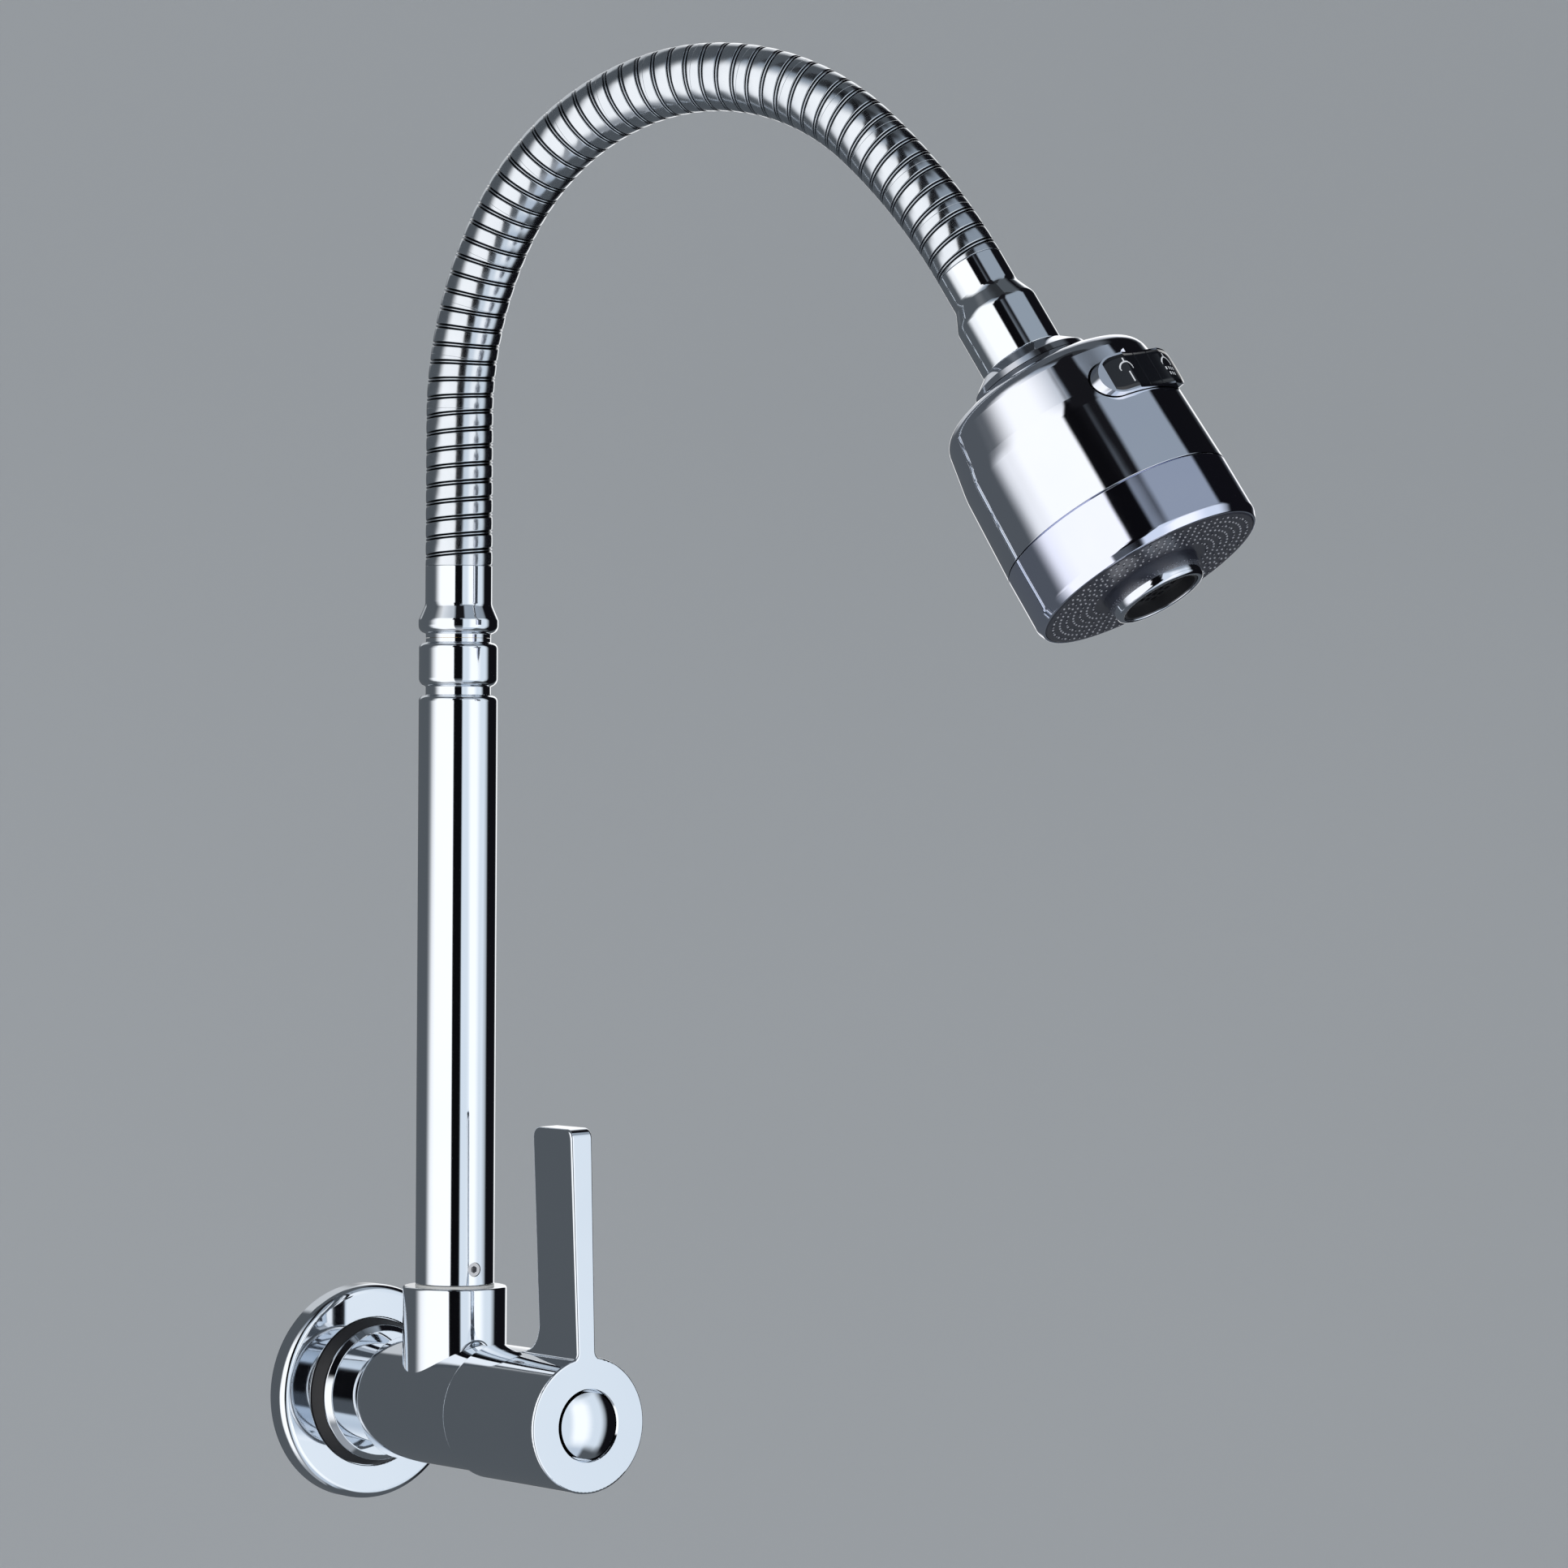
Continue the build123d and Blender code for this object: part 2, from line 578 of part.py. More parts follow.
# Handle: turned sleeve and front plate with the upright lever blade
WELL_FLOOR = HANDLE_FRONT - BUTTON_WELL
WELL_R = BUTTON_R + BUTTON_GAP
SPLINE_END = SPINDLE_END + 0.5
LEVER_HEEL = HANDLE_R * 0.55
with BuildPart() as handle:
    lever_back = HANDLE_FRONT - LEVER_DEPTH
    with BuildSketch(Plane.YZ) as blade_side:
        with BuildLine():
            FilletPolyline(
                (-HANDLE_FRONT, LEVER_HEEL),
                (-HANDLE_FRONT, LEVER_TOP),
                (-lever_back, LEVER_TOP),
                (-lever_back, HANDLE_R - 0.4),
                (-lever_back + 2 * LEVER_HEEL_ROUND, HANDLE_R - 0.4),
                (-lever_back + 2 * LEVER_HEEL_ROUND, LEVER_HEEL),
                radius=[0, LEVER_TOP_ROUND, LEVER_TOP_ROUND, LEVER_HEEL_ROUND, 0, 0],
                close=True,
            )
        make_face()
    extrude(amount=LEVER_TOP_WIDTH, both=True)
    with BuildSketch(Plane.XZ.offset(HANDLE_FRONT + 1)) as blade_front:
        with BuildLine():
            Polyline(
                (-LEVER_FOOT_WIDTH / 2, LEVER_HEEL),
                (-LEVER_TOP_WIDTH / 2, LEVER_TOP),
                (LEVER_TOP_WIDTH / 2, LEVER_TOP),
                (LEVER_FOOT_WIDTH / 2, LEVER_HEEL),
                close=True,
            )
        make_face()
        Circle(HANDLE_R - HAIR_GAP)
        crotches = blade_front.vertices().filter_by(lambda point: LEVER_HEEL < point.Y < LEVER_TOP / 2)
        fillet(crotches, LEVER_FOOT_ROUND)
    extrude(amount=-HANDLE_FRONT, mode=Mode.INTERSECT)
    fillet(handle.edges().filter_by(lambda edge: edge.length > LEVER_TOP / 2), LEVER_EDGE_ROUND)
    turned(
        WALL_SIDE,
        [
            (0, HANDLE_BACK, 0),
            (HANDLE_R, HANDLE_BACK, 1.0),
            (HANDLE_R, HANDLE_FRONT, EDGE_ROUND),
            (0, HANDLE_FRONT, 0),
        ],
    )
    sleeve_bore = HANDLE_R - HANDLE_WALL
    ring(WALL_SIDE, 0, sleeve_bore, HANDLE_BACK, HANDLE_WEB_BACK, Mode.SUBTRACT)
    ring(WALL_SIDE, 0, SPINDLE_R + RUN_GAP, HANDLE_WEB_BACK, SPLINE_END, Mode.SUBTRACT)
    ring(WALL_SIDE, 0, SCREW_R + SEAT_GAP, SPLINE_END, WELL_FLOOR, Mode.SUBTRACT)
    turned(
        WALL_SIDE,
        [
            (0, WELL_FLOOR, 0),
            (WELL_R, WELL_FLOOR, 0),
            (WELL_R, HANDLE_FRONT - WELL_EDGE, 0),
            (WELL_R + WELL_EDGE, HANDLE_FRONT, 0),
            (0, HANDLE_FRONT, 0),
        ],
        Mode.SUBTRACT,
    )
handle.part = handle.part.rotate(Axis((0, 0, 0), (0, -1, 0)), LEVER_LEAN)
save(handle, "handle")

with BuildPart() as handle_screw:
    turned(
        WALL_SIDE,
        [
            (0, HANDLE_WEB_BACK + 1.5, 0),
            (SCREW_R, HANDLE_WEB_BACK + 1.5, 0),
            (SCREW_R, WELL_FLOOR, 0),
            (SCREW_HEAD_R, WELL_FLOOR, 0),
            (SCREW_HEAD_R, WELL_FLOOR + SCREW_HEAD, 0.5),
            (0, WELL_FLOOR + SCREW_HEAD, 0),
        ],
    )
    with BuildSketch(Plane.XZ.offset(WELL_FLOOR + SCREW_HEAD)):
        RegularPolygon(SCREW_R * 0.8, 6)
    extrude(amount=-SCREW_HEAD * 0.6, mode=Mode.SUBTRACT)
save(handle_screw, "handle_screw")

# Domed button that hides the handle screw
DOME_RADIUS = (BUTTON_R**2 + BUTTON_CROWN**2) / (2 * BUTTON_CROWN)
with BuildPart() as index_button:
    crown = HANDLE_FRONT + BUTTON_CROWN
    inside_corner = (BUTTON_R - BUTTON_WALL, crown - BUTTON_WALL - BUTTON_SKIRT)
    with BuildSketch(WALL_SIDE) as button_profile:
        with BuildLine():
            Line((0, crown - BUTTON_WALL), (0, crown))
            RadiusArc((0, crown), (BUTTON_R, HANDLE_FRONT), DOME_RADIUS)
            Line((BUTTON_R, HANDLE_FRONT), (BUTTON_R, WELL_FLOOR))
            Line((BUTTON_R, WELL_FLOOR), (BUTTON_R - BUTTON_WALL, WELL_FLOOR))
            Line((BUTTON_R - BUTTON_WALL, WELL_FLOOR), inside_corner)
            Line(inside_corner, (0, crown - BUTTON_WALL))
        make_face()
    revolve(button_profile.sketch, axis=Axis(WALL_SIDE.origin, WALL_SIDE.y_dir))
save(index_button, "index_button")

# Swivel nipple that carries the spout in the collar
NIPPLE_R = SWIVEL_R - RUN_GAP
NIPPLE_TUBE_R = TUBE_R - TUBE_WALL - HAIR_GAP
ORING_SECTION = 0.9
ORING_HEIGHTS = (20.6, 24.6)
ORING_FLOOR = NIPPLE_R - 2 * ORING_SECTION
with BuildPart() as swivel_nipple:
    turned(
        SPOUT_SIDE,
        [
            (PORT_R, SWIVEL_FLOOR + BODY_GAP, 0),
            (NIPPLE_R, SWIVEL_FLOOR + BODY_GAP, 0.4),
            (NIPPLE_R, TUBE_FOOT - HAIR_GAP, 0),
            (NIPPLE_TUBE_R, TUBE_FOOT, 0),
            (NIPPLE_TUBE_R, NIPPLE_TOP, 0.6),
            (PORT_R, NIPPLE_TOP, 0),
        ],
    )
    for height in ORING_HEIGHTS:
        low = height - ORING_SECTION - HAIR_GAP
        high = height + ORING_SECTION + HAIR_GAP
        ring(SPOUT_SIDE, ORING_FLOOR - RUN_GAP, NIPPLE_R + 1, low, high, Mode.SUBTRACT)
    groove_low = CLIP_HEIGHT - BODY_GAP
    groove_high = CLIP_HEIGHT + CLIP_THICKNESS + BODY_GAP
    ring(SPOUT_SIDE, ORING_FLOOR, NIPPLE_R + 1, groove_low, groove_high, Mode.SUBTRACT)
    grub_way = Vector(sin(radians(GRUB_TURN)), -cos(radians(GRUB_TURN)), 0)
    grub_plane = Plane(SPOUT_ORIGIN + UP * GRUB_HEIGHT, x_dir=(0, 0, 1), z_dir=grub_way)
    grub_tip = TUBE_R - 0.4 - GRUB_LENGTH
    with BuildSketch(grub_plane.offset(grub_tip - HAIR_GAP)):
        Circle(GRUB_R + RUN_GAP)
    extrude(amount=TUBE_R, mode=Mode.SUBTRACT)
save(swivel_nipple, "swivel_nipple")

with BuildPart() as swivel_orings:
    for height in ORING_HEIGHTS:
        cord_ring(SPOUT_SIDE, NIPPLE_R - ORING_SECTION, ORING_SECTION, height)
save(swivel_orings, "swivel_orings")

with BuildPart() as swivel_clip:
    clip_inner = ORING_FLOOR + BODY_GAP
    clip_outer = SWIVEL_R + CLIP_DEPTH
    clip_end = CLIP_HEIGHT + CLIP_THICKNESS
    snap_ring(SPOUT_SIDE, clip_inner, clip_outer, CLIP_HEIGHT, clip_end, CLIP_MOUTH)
save(swivel_clip, "swivel_clip")

with BuildPart() as slip_ring:
    ring(SPOUT_SIDE, SWIVEL_R + HAIR_GAP, TUBE_R, COLLAR_TOP, COLLAR_TOP + SLIP_THICKNESS)
save(slip_ring, "slip_ring")

# Spout tube with its two rolled grooves
TUBE_BORE_R = TUBE_R - TUBE_WALL
GROOVE_BORE_R = GROOVE_R - TUBE_WALL + ROLL_THINNING
below = GROOVE_HALF + SHOULDER_BELOW
above = GROOVE_HALF + SHOULDER_ABOVE
with BuildPart() as spout_tube:
    turned(
        SPOUT_SIDE,
        [
            (TUBE_BORE_R, TUBE_FOOT, 0),
            (TUBE_R, TUBE_FOOT, 0.3),
            (TUBE_R, GROOVE_LOW - below, SHOULDER_BELOW_ROUND),
            (GROOVE_R, GROOVE_LOW - GROOVE_HALF, 0.2),
            (GROOVE_R, GROOVE_LOW + GROOVE_HALF, 0.3),
            (TUBE_R, GROOVE_LOW + above, SHOULDER_ABOVE_ROUND),
            (TUBE_R, GROOVE_HIGH - below, SHOULDER_BELOW_ROUND),
            (GROOVE_R, GROOVE_HIGH - GROOVE_HALF, 0.2),
            (GROOVE_R, TUBE_JOIN, 0),
            (GROOVE_BORE_R, TUBE_JOIN, 0),
            (GROOVE_BORE_R, GROOVE_HIGH - GROOVE_HALF - ROLL_SPREAD, 0),
            (TUBE_BORE_R, GROOVE_HIGH - below - 2 * ROLL_SPREAD, 0),
            (TUBE_BORE_R, GROOVE_LOW + above + ROLL_SPREAD, 0),
            (GROOVE_BORE_R, GROOVE_LOW + GROOVE_HALF + ROLL_SPREAD, 0),
            (GROOVE_BORE_R, GROOVE_LOW - GROOVE_HALF - ROLL_SPREAD, 0),
            (TUBE_BORE_R, GROOVE_LOW - below - 2 * ROLL_SPREAD, 0),
        ],
    )
    with BuildSketch(grub_plane):
        Circle(GRUB_R + HAIR_GAP)
    extrude(amount=TUBE_R + 1, mode=Mode.SUBTRACT)
save(spout_tube, "spout_tube")

with BuildPart() as grub_screw:
    with BuildSketch(grub_plane.offset(grub_tip)):
        Circle(GRUB_R)
    extrude(amount=GRUB_LENGTH)
    with BuildSketch(grub_plane.offset(grub_tip + GRUB_LENGTH)):
        RegularPolygon(GRUB_R * 0.55, 6)
    extrude(amount=-GRUB_LENGTH * 0.5, mode=Mode.SUBTRACT)
save(grub_screw, "grub_screw")

# Flared ferrule that joins the tube to the ribbed neck
FERRULE_BORE_R = GROOVE_BORE_R
with BuildPart() as neck_ferrule:
    turned(
        SPOUT_SIDE,
        [
            (FERRULE_BORE_R, TUBE_JOIN + HAIR_GAP, 0),
            (GROOVE_R, TUBE_JOIN + HAIR_GAP, 0),
            (GROOVE_R, GROOVE_HIGH + GROOVE_HALF, 0.2),
            (FLARE_R, FLARE_LOW, FLARE_ROUND),
            (FLARE_R, FLARE_TOP, 1.5),
            (HOSE_R, FERRULE_START, 3.0),
            (HOSE_R, HOSE_START, 0.2),
            (FERRULE_BORE_R, HOSE_START, 0),
        ],
    )
save(neck_ferrule, "neck_ferrule")

# Brass connector that the grooves are rolled on, with the hose barb
CONNECTOR_R = GROOVE_BORE_R - HAIR_GAP
with BuildPart() as neck_connector:
    turned(
        SPOUT_SIDE,
        [
            (CONNECTOR_BORE, GROOVE_LOW - CONNECTOR_TAIL, 0),
            (CONNECTOR_R, GROOVE_LOW - CONNECTOR_TAIL, 0.4),
            (CONNECTOR_R, GROOVE_LOW + above + 1, 0),
            (TUBE_BORE_R - HAIR_GAP, GROOVE_LOW + above + 2, 0),
            (TUBE_BORE_R - HAIR_GAP, GROOVE_HIGH - above - 2, 0),
            (CONNECTOR_R, GROOVE_HIGH - above - 1, 0),
            (CONNECTOR_R, CONNECTOR_TOP, 0.4),
            (INNER_HOSE_R - INNER_HOSE_WALL - HAIR_GAP, CONNECTOR_TOP, 0),
            (INNER_HOSE_R - INNER_HOSE_WALL - HAIR_GAP, CONNECTOR_TOP + CONNECTOR_BARB, 0),
            (CONNECTOR_BORE, CONNECTOR_TOP + CONNECTOR_BARB, 0),
        ],
    )
save(neck_connector, "neck_connector")


def neck_rib(index, opens, closes):
    """One rib as a ruled loft through four circles; at a joint its end is a square face."""
    low = index * RIB_PITCH
    middle = low + RIB_PITCH / 2
    crest = CREST_WIDTH / 2
    circles = [
        (across(middle, -crest), HOSE_R - CREST_BEVEL) if opens else (across(low), HOSE_ROOT_R),
        (across(middle, CREST_BEVEL - crest), HOSE_R),
        (across(middle, crest - CREST_BEVEL), HOSE_R),
        (across(middle, crest), HOSE_R - CREST_BEVEL) if closes else (across(low + RIB_PITCH), HOSE_ROOT_R),
    ]
    sections = []
    for plane, radius in circles:
        with BuildSketch(plane) as section:
            Circle(radius)
        sections.append(section.sketch)
    loft(sections, ruled=True)


def neck_bore(first, count):
    """Bore that follows the neck over some ribs, run on past both ends."""
    sections = []
    for step in range(-1, count + 2):
        with BuildSketch(across((first + step) * RIB_PITCH)) as section:
            Circle(HOSE_BORE_R)
        sections.append(section.sketch)
    loft(sections, ruled=True, mode=Mode.SUBTRACT)


def neck_ball(run):
    """Ball shaped sleeve round the joint at a length along the neck."""
    point, way = arch_at(run)
    side = Plane(origin=point, x_dir=HINGE_WAY, z_dir=HINGE_WAY.cross(way))
    front_r = sqrt(BALL_R**2 - BALL_REACH**2)
    back_r = sqrt(BALL_R**2 - BALL_ROOT**2)
    front_angle = degrees(asin(BALL_REACH / BALL_R))
    back_angle = degrees(asin(BALL_ROOT / BALL_R))
    inside = HOSE_BORE_R - 0.5
    with BuildSketch(side) as profile:
        with BuildLine():
            CenterArc((0, 0), BALL_R, -back_angle, back_angle + front_angle)
            Polyline((front_r, BALL_REACH), (inside, BALL_REACH), (inside, -BALL_ROOT), (back_r, -BALL_ROOT))
        make_face()
    revolve(profile.sketch, axis=Axis(point, way))


def neck_socket(run):
    """Round hollow that the ball below turns in."""
    with Locations(across(run)):
        Sphere(BALL_R + SOCKET_GAP, mode=Mode.SUBTRACT)


# Foot of the neck: straight ribs and the tail that sits in the ferrule
with BuildPart() as neck_foot:
    ring(SPOUT_SIDE, 0, FERRULE_BORE_R - HAIR_GAP, HOSE_START - FOOT_TAIL, HOSE_START + FOOT_OVERLAP)
    for rib_index in range(FOOT_RIBS):
        neck_rib(rib_index, False, rib_index == FOOT_RIBS - 1)
    neck_ball(FOOT_RIBS * RIB_PITCH)
    foot_end = HOSE_START + FOOT_RIBS * RIB_PITCH
    ring(SPOUT_SIDE, 0, HOSE_BORE_R, HOSE_START - FOOT_TAIL - 1, foot_end + 5, Mode.SUBTRACT)
save(neck_foot, "neck_foot")

# Links of the neck, each turning on the ball of the one before it
for link_index in range(LINK_COUNT):
    first_rib = FOOT_RIBS + link_index * LINK_RIBS
    last_link = link_index == LINK_COUNT - 1
    with BuildPart() as neck_link:
        for rib_index in range(first_rib, first_rib + LINK_RIBS):
            opens = rib_index == first_rib
            closes = rib_index == first_rib + LINK_RIBS - 1 and not last_link
            neck_rib(rib_index, opens, closes)
        if not last_link:
            neck_ball((first_rib + LINK_RIBS) * RIB_PITCH)
        neck_bore(first_rib, LINK_RIBS)
        neck_socket(first_rib * RIB_PITCH)
    save(neck_link, "neck_link_%02d" % (link_index + 1))

# Water hose inside the neck
HOSE_TAIL_END = HOSE_LENGTH - SPIGOT_REACH - BODY_GAP
with BuildPart() as inner_hose:
    with BuildLine() as hose_path:
        bottom = SPOUT_ORIGIN + UP * CONNECTOR_TOP
        Line(bottom, arch_at(FOOT_STRAIGHT)[0])
        start = FOOT_STRAIGHT
        for arc_length in ARC_LENGTHS:
            stop = min(start + arc_length, HOSE_TAIL_END)
            middle_point = arch_at((start + stop) / 2)[0]
            ThreePointArc(arch_at(start)[0], middle_point, arch_at(stop)[0])
            start = stop
    with BuildSketch(Plane(bottom, x_dir=HINGE_WAY, z_dir=UP)):
        Circle(INNER_HOSE_R)
        Circle(INNER_HOSE_R - INNER_HOSE_WALL, mode=Mode.SUBTRACT)
    sweep()
save(inner_hose, "inner_hose")

# Adapter between the hose and the head, with the stud the head turns on
STUD_GROOVE_R = STUD_R - 1.0
with BuildPart() as head_adapter:
    turned(
        HEAD_SIDE,
        [
            (INNER_HOSE_R - INNER_HOSE_WALL, -SPIGOT_REACH, 0),
            (HOSE_BORE_R - BODY_GAP, -SPIGOT_REACH, 0.3),
            (HOSE_BORE_R - BODY_GAP, 0, 0),
            (HOSE_R, 0, 0.3),
            (HOSE_R, ADAPTER_SMALL, 4.0),
            (ADAPTER_R, ADAPTER_SHOULDER, 3.5),
            (ADAPTER_R, ADAPTER_END, 0.4),
            (STUD_R, ADAPTER_END, 0),
            (STUD_R, STUD_END, 0.5),
            (INNER_HOSE_R - INNER_HOSE_WALL, STUD_END, 0),
        ],
    )
    oring_r = STUD_R - 2 * ORING_SECTION - RUN_GAP
    oring_low = STUD_SEAL - ORING_SECTION - HAIR_GAP
    oring_high = STUD_SEAL + ORING_SECTION + HAIR_GAP
    ring(HEAD_SIDE, oring_r, STUD_R + 1, oring_low, oring_high, Mode.SUBTRACT)
    clip_top = STUD_CLIP + STUD_CLIP_WIDTH
    ring(HEAD_SIDE, STUD_GROOVE_R, STUD_R + 1, STUD_CLIP, clip_top, Mode.SUBTRACT)
save(head_adapter, "head_adapter")

with BuildPart() as head_oring:
    cord_ring(HEAD_SIDE, STUD_R - ORING_SECTION, ORING_SECTION, STUD_SEAL)
save(head_oring, "head_oring")

with BuildPart() as head_clip:
    clip_low_face = STUD_CLIP + HAIR_GAP
    clip_high_face = STUD_CLIP + STUD_CLIP_WIDTH - HAIR_GAP
    snap_ring(HEAD_SIDE, STUD_GROOVE_R + HAIR_GAP, STUD_CLIP_R, clip_low_face, clip_high_face, RING_CUT)
save(head_clip, "head_clip")

# Collar of the head, which runs on the stud
RING_START = ADAPTER_END + BODY_GAP
RING_SPIGOT_END = STUD_CLIP - BODY_GAP
with BuildPart() as head_collar:
    turned(
        HEAD_SIDE,
        [
            (STUD_R + RUN_GAP, RING_START, 0),
            (ADAPTER_R + 0.9, RING_START, 0.4),
            (RING_R - 0.6, RING_END - 2.0, 0.6),
            (RING_R, RING_END - HAIR_GAP, 0),
            (RING_SPIGOT_R, RING_END - HAIR_GAP, 0),
            (RING_SPIGOT_R, RING_SPIGOT_END, 0),
            (STUD_R + RUN_GAP, RING_SPIGOT_END, 0),
        ],
    )
save(head_collar, "head_collar")

# Rocker frame: x along the rocker, y along the head's axis, z outwards
ROCKER_PLACE = HOSE_END + HEAD_WAY * ROCKER_HEIGHT
ROCKER_FRAME = Plane(origin=ROCKER_PLACE, x_dir=ROCKER_SIDE, z_dir=ROCKER_WAY)
SLOT_MARGIN = 0.5

# Upper shell of the head with the slot and the two pin ears
with BuildPart() as head_upper_shell:
    turned(
        HEAD_SIDE,
        [
            (RING_SPIGOT_R + HAIR_GAP, RING_END, 0),
            (RING_R, RING_END, 0),
            (DOME_R, DOME_HEIGHT, 5.5),
            (WAIST_R, WAIST_HEIGHT, WAIST_ROUND),
            (SEAM_R, SEAM_HEIGHT, 0.15),
            (SEAM_R - HEAD_WALL, SEAM_HEIGHT, 0),
            (WAIST_R - HEAD_WALL, WAIST_HEIGHT, WAIST_ROUND),
            (DOME_R - HEAD_WALL, DOME_HEIGHT + HEAD_WALL, 4.0),
            (RING_R, RING_END + HEAD_WALL, 0),
            (RING_SPIGOT_R + HAIR_GAP, RING_END + HEAD_WALL, 0),
        ],
    )
    ear = ROCKER_WIDTH / 2 + SEAT_GAP
    for way in (-1, 1):
        with BuildSketch(ROCKER_FRAME.offset(PIN_AT - HUB_R)) as ear_foot:
            with Locations((0, way * (ear + PIN_OVERHANG / 2))):
                Rectangle(2 * HUB_R, PIN_OVERHANG)
        extrude(ear_foot.sketch, amount=2 * HUB_R + 0.6)
    with BuildSketch(ROCKER_FRAME.offset(SPOOL_AT)) as slot_shape:
        SlotOverall(ROCKER_LENGTH + 2 * SLOT_MARGIN, ROCKER_WIDTH + 2 * SEAT_GAP)
    extrude(slot_shape.sketch, amount=SEAM_R, mode=Mode.SUBTRACT)
    pin_plane = Plane(HOSE_END + ROCKER_WAY * PIN_AT, x_dir=ROCKER_WAY, z_dir=HEAD_WAY)
    pin_low = ROCKER_HEIGHT - ear - PIN_OVERHANG
    with BuildSketch(pin_plane.offset(pin_low - 1)) as pin_hole:
        Circle(PIN_R)
    extrude(pin_hole.sketch, amount=2 * (ear + PIN_OVERHANG) + 2, mode=Mode.SUBTRACT)
save(head_upper_shell, "head_upper_shell")

with BuildPart() as rocker_pin:
    with BuildSketch(pin_plane.offset(pin_low)):
        Circle(PIN_R)
    extrude(amount=2 * (ear + PIN_OVERHANG))
save(rocker_pin, "rocker_pin")

# Rocker with two raised pads, a pivot hub and the lug that drives the spool
with BuildPart() as diverter_rocker:
    half_width = ROCKER_WIDTH / 2
    slab_plane = Plane(HOSE_END, x_dir=ROCKER_WAY, z_dir=HEAD_WAY).offset(ROCKER_HEIGHT - half_width)
    with BuildSketch(slab_plane) as slab:
        Circle(ROCKER_R)
        Circle(ROCKER_R - ROCKER_THICKNESS, mode=Mode.SUBTRACT)
    extrude(slab.sketch, amount=ROCKER_WIDTH)
    with BuildSketch(ROCKER_FRAME) as pad_shape:
        SlotOverall(ROCKER_LENGTH, ROCKER_WIDTH)
    extrude(pad_shape.sketch, amount=ROCKER_R + 1, mode=Mode.INTERSECT)
    scoop_r = 2 * ROCKER_LENGTH
    scoop_centre = ROCKER_WAY * (ROCKER_R - ROCKER_SCOOP + scoop_r)
    with BuildSketch(Plane(slab_plane.origin + scoop_centre, x_dir=ROCKER_WAY, z_dir=HEAD_WAY)) as scoop:
        Circle(scoop_r)
    extrude(scoop.sketch, amount=ROCKER_WIDTH, mode=Mode.SUBTRACT)
    hub_plane = Plane(HOSE_END + ROCKER_WAY * PIN_AT, x_dir=ROCKER_WAY, z_dir=HEAD_WAY)
    with BuildSketch(hub_plane.offset(ROCKER_HEIGHT - half_width)) as hub:
        Circle(HUB_R)
        with Locations((ROCKER_THICKNESS / 2, 0)):
            Rectangle(ROCKER_THICKNESS + HUB_R / 2, 2 * HUB_R)
    extrude(hub.sketch, amount=ROCKER_WIDTH)
    stem = PIN_AT - SPOOL_AT
    stem_half = SPOOL_R * 0.4
    with BuildSketch(hub_plane.offset(ROCKER_HEIGHT - stem_half)) as lug:
        with Locations((-stem / 2, 0)):
            Rectangle(stem, LUG_R * 1.4)
        with Locations((-stem, 0)):
            Circle(LUG_R)
    extrude(lug.sketch, amount=2 * stem_half)
    with BuildSketch(hub_plane.offset(ROCKER_HEIGHT - half_width - 1)) as rocker_hole:
        Circle(PIN_R + RUN_GAP)
    extrude(rocker_hole.sketch, amount=ROCKER_WIDTH + 2, mode=Mode.SUBTRACT)
save(diverter_rocker, "diverter_rocker")

# Core of the head: column, spray flange and the cross bore of the spool
BOSS_OUT = SPOOL_AT + SPOOL_R + 1.4
BOSS_HALF = SPOOL_R + 1.6
NOSE_TIP = AERATOR_END - AERATOR_WELL - AERATOR_INSERT
SPOOL_PLANE = Plane(ROCKER_PLACE + ROCKER_WAY * SPOOL_AT, x_dir=HEAD_WAY, z_dir=ROCKER_SIDE)
with BuildPart() as head_core:
    turned(
        HEAD_SIDE,
        [
            (CORE_BORE_R, STUD_END + BODY_GAP, 0),
            (CORE_R, STUD_END + BODY_GAP, 0.6),
            (CORE_R, CORE_FLANGE, 0),
            (FACE_R - SEAT_GAP, CORE_FLANGE, 0),
            (FACE_R - SEAT_GAP, CORE_FLANGE + CORE_FLANGE_THICKNESS, 0),
            (AERATOR_BORE - SEAT_GAP, CORE_FLANGE + CORE_FLANGE_THICKNESS, 0),
            (AERATOR_BORE - SEAT_GAP, NOSE_TIP, 0),
            (CORE_BORE_R, NOSE_TIP, 0),
        ],
    )
    with BuildSketch(SPOOL_PLANE.offset(-SPOOL_LENGTH / 2)) as boss:
        with Locations((0, -SPOOL_AT / 2)):
            Rectangle(2 * BOSS_HALF, 2 * BOSS_HALF + SPOOL_AT)
    extrude(boss.sketch, amount=SPOOL_LENGTH)
    with BuildSketch(SPOOL_PLANE.offset(-SPOOL_LENGTH)) as spool_bore:
        Circle(SPOOL_R + RUN_GAP)
    extrude(spool_bore.sketch, amount=2 * SPOOL_LENGTH, mode=Mode.SUBTRACT)
    with BuildSketch(ROCKER_FRAME.offset(SPOOL_AT)) as lug_slot:
        Rectangle(2 * (LUG_R + SPOOL_TRAVEL + 2 * BODY_GAP + 0.4), 2 * SPOOL_R)
    extrude(lug_slot.sketch, amount=BOSS_HALF + 1, mode=Mode.SUBTRACT)
    ring(HEAD_SIDE, 0, CORE_BORE_R, STUD_END, NOSE_TIP + 1, Mode.SUBTRACT)
    with BuildSketch(ROCKER_FRAME) as feed_port:
        Circle(SPOOL_R / 2)
    extrude(feed_port.sketch, amount=SPOOL_AT, mode=Mode.SUBTRACT)
save(head_core, "head_core")

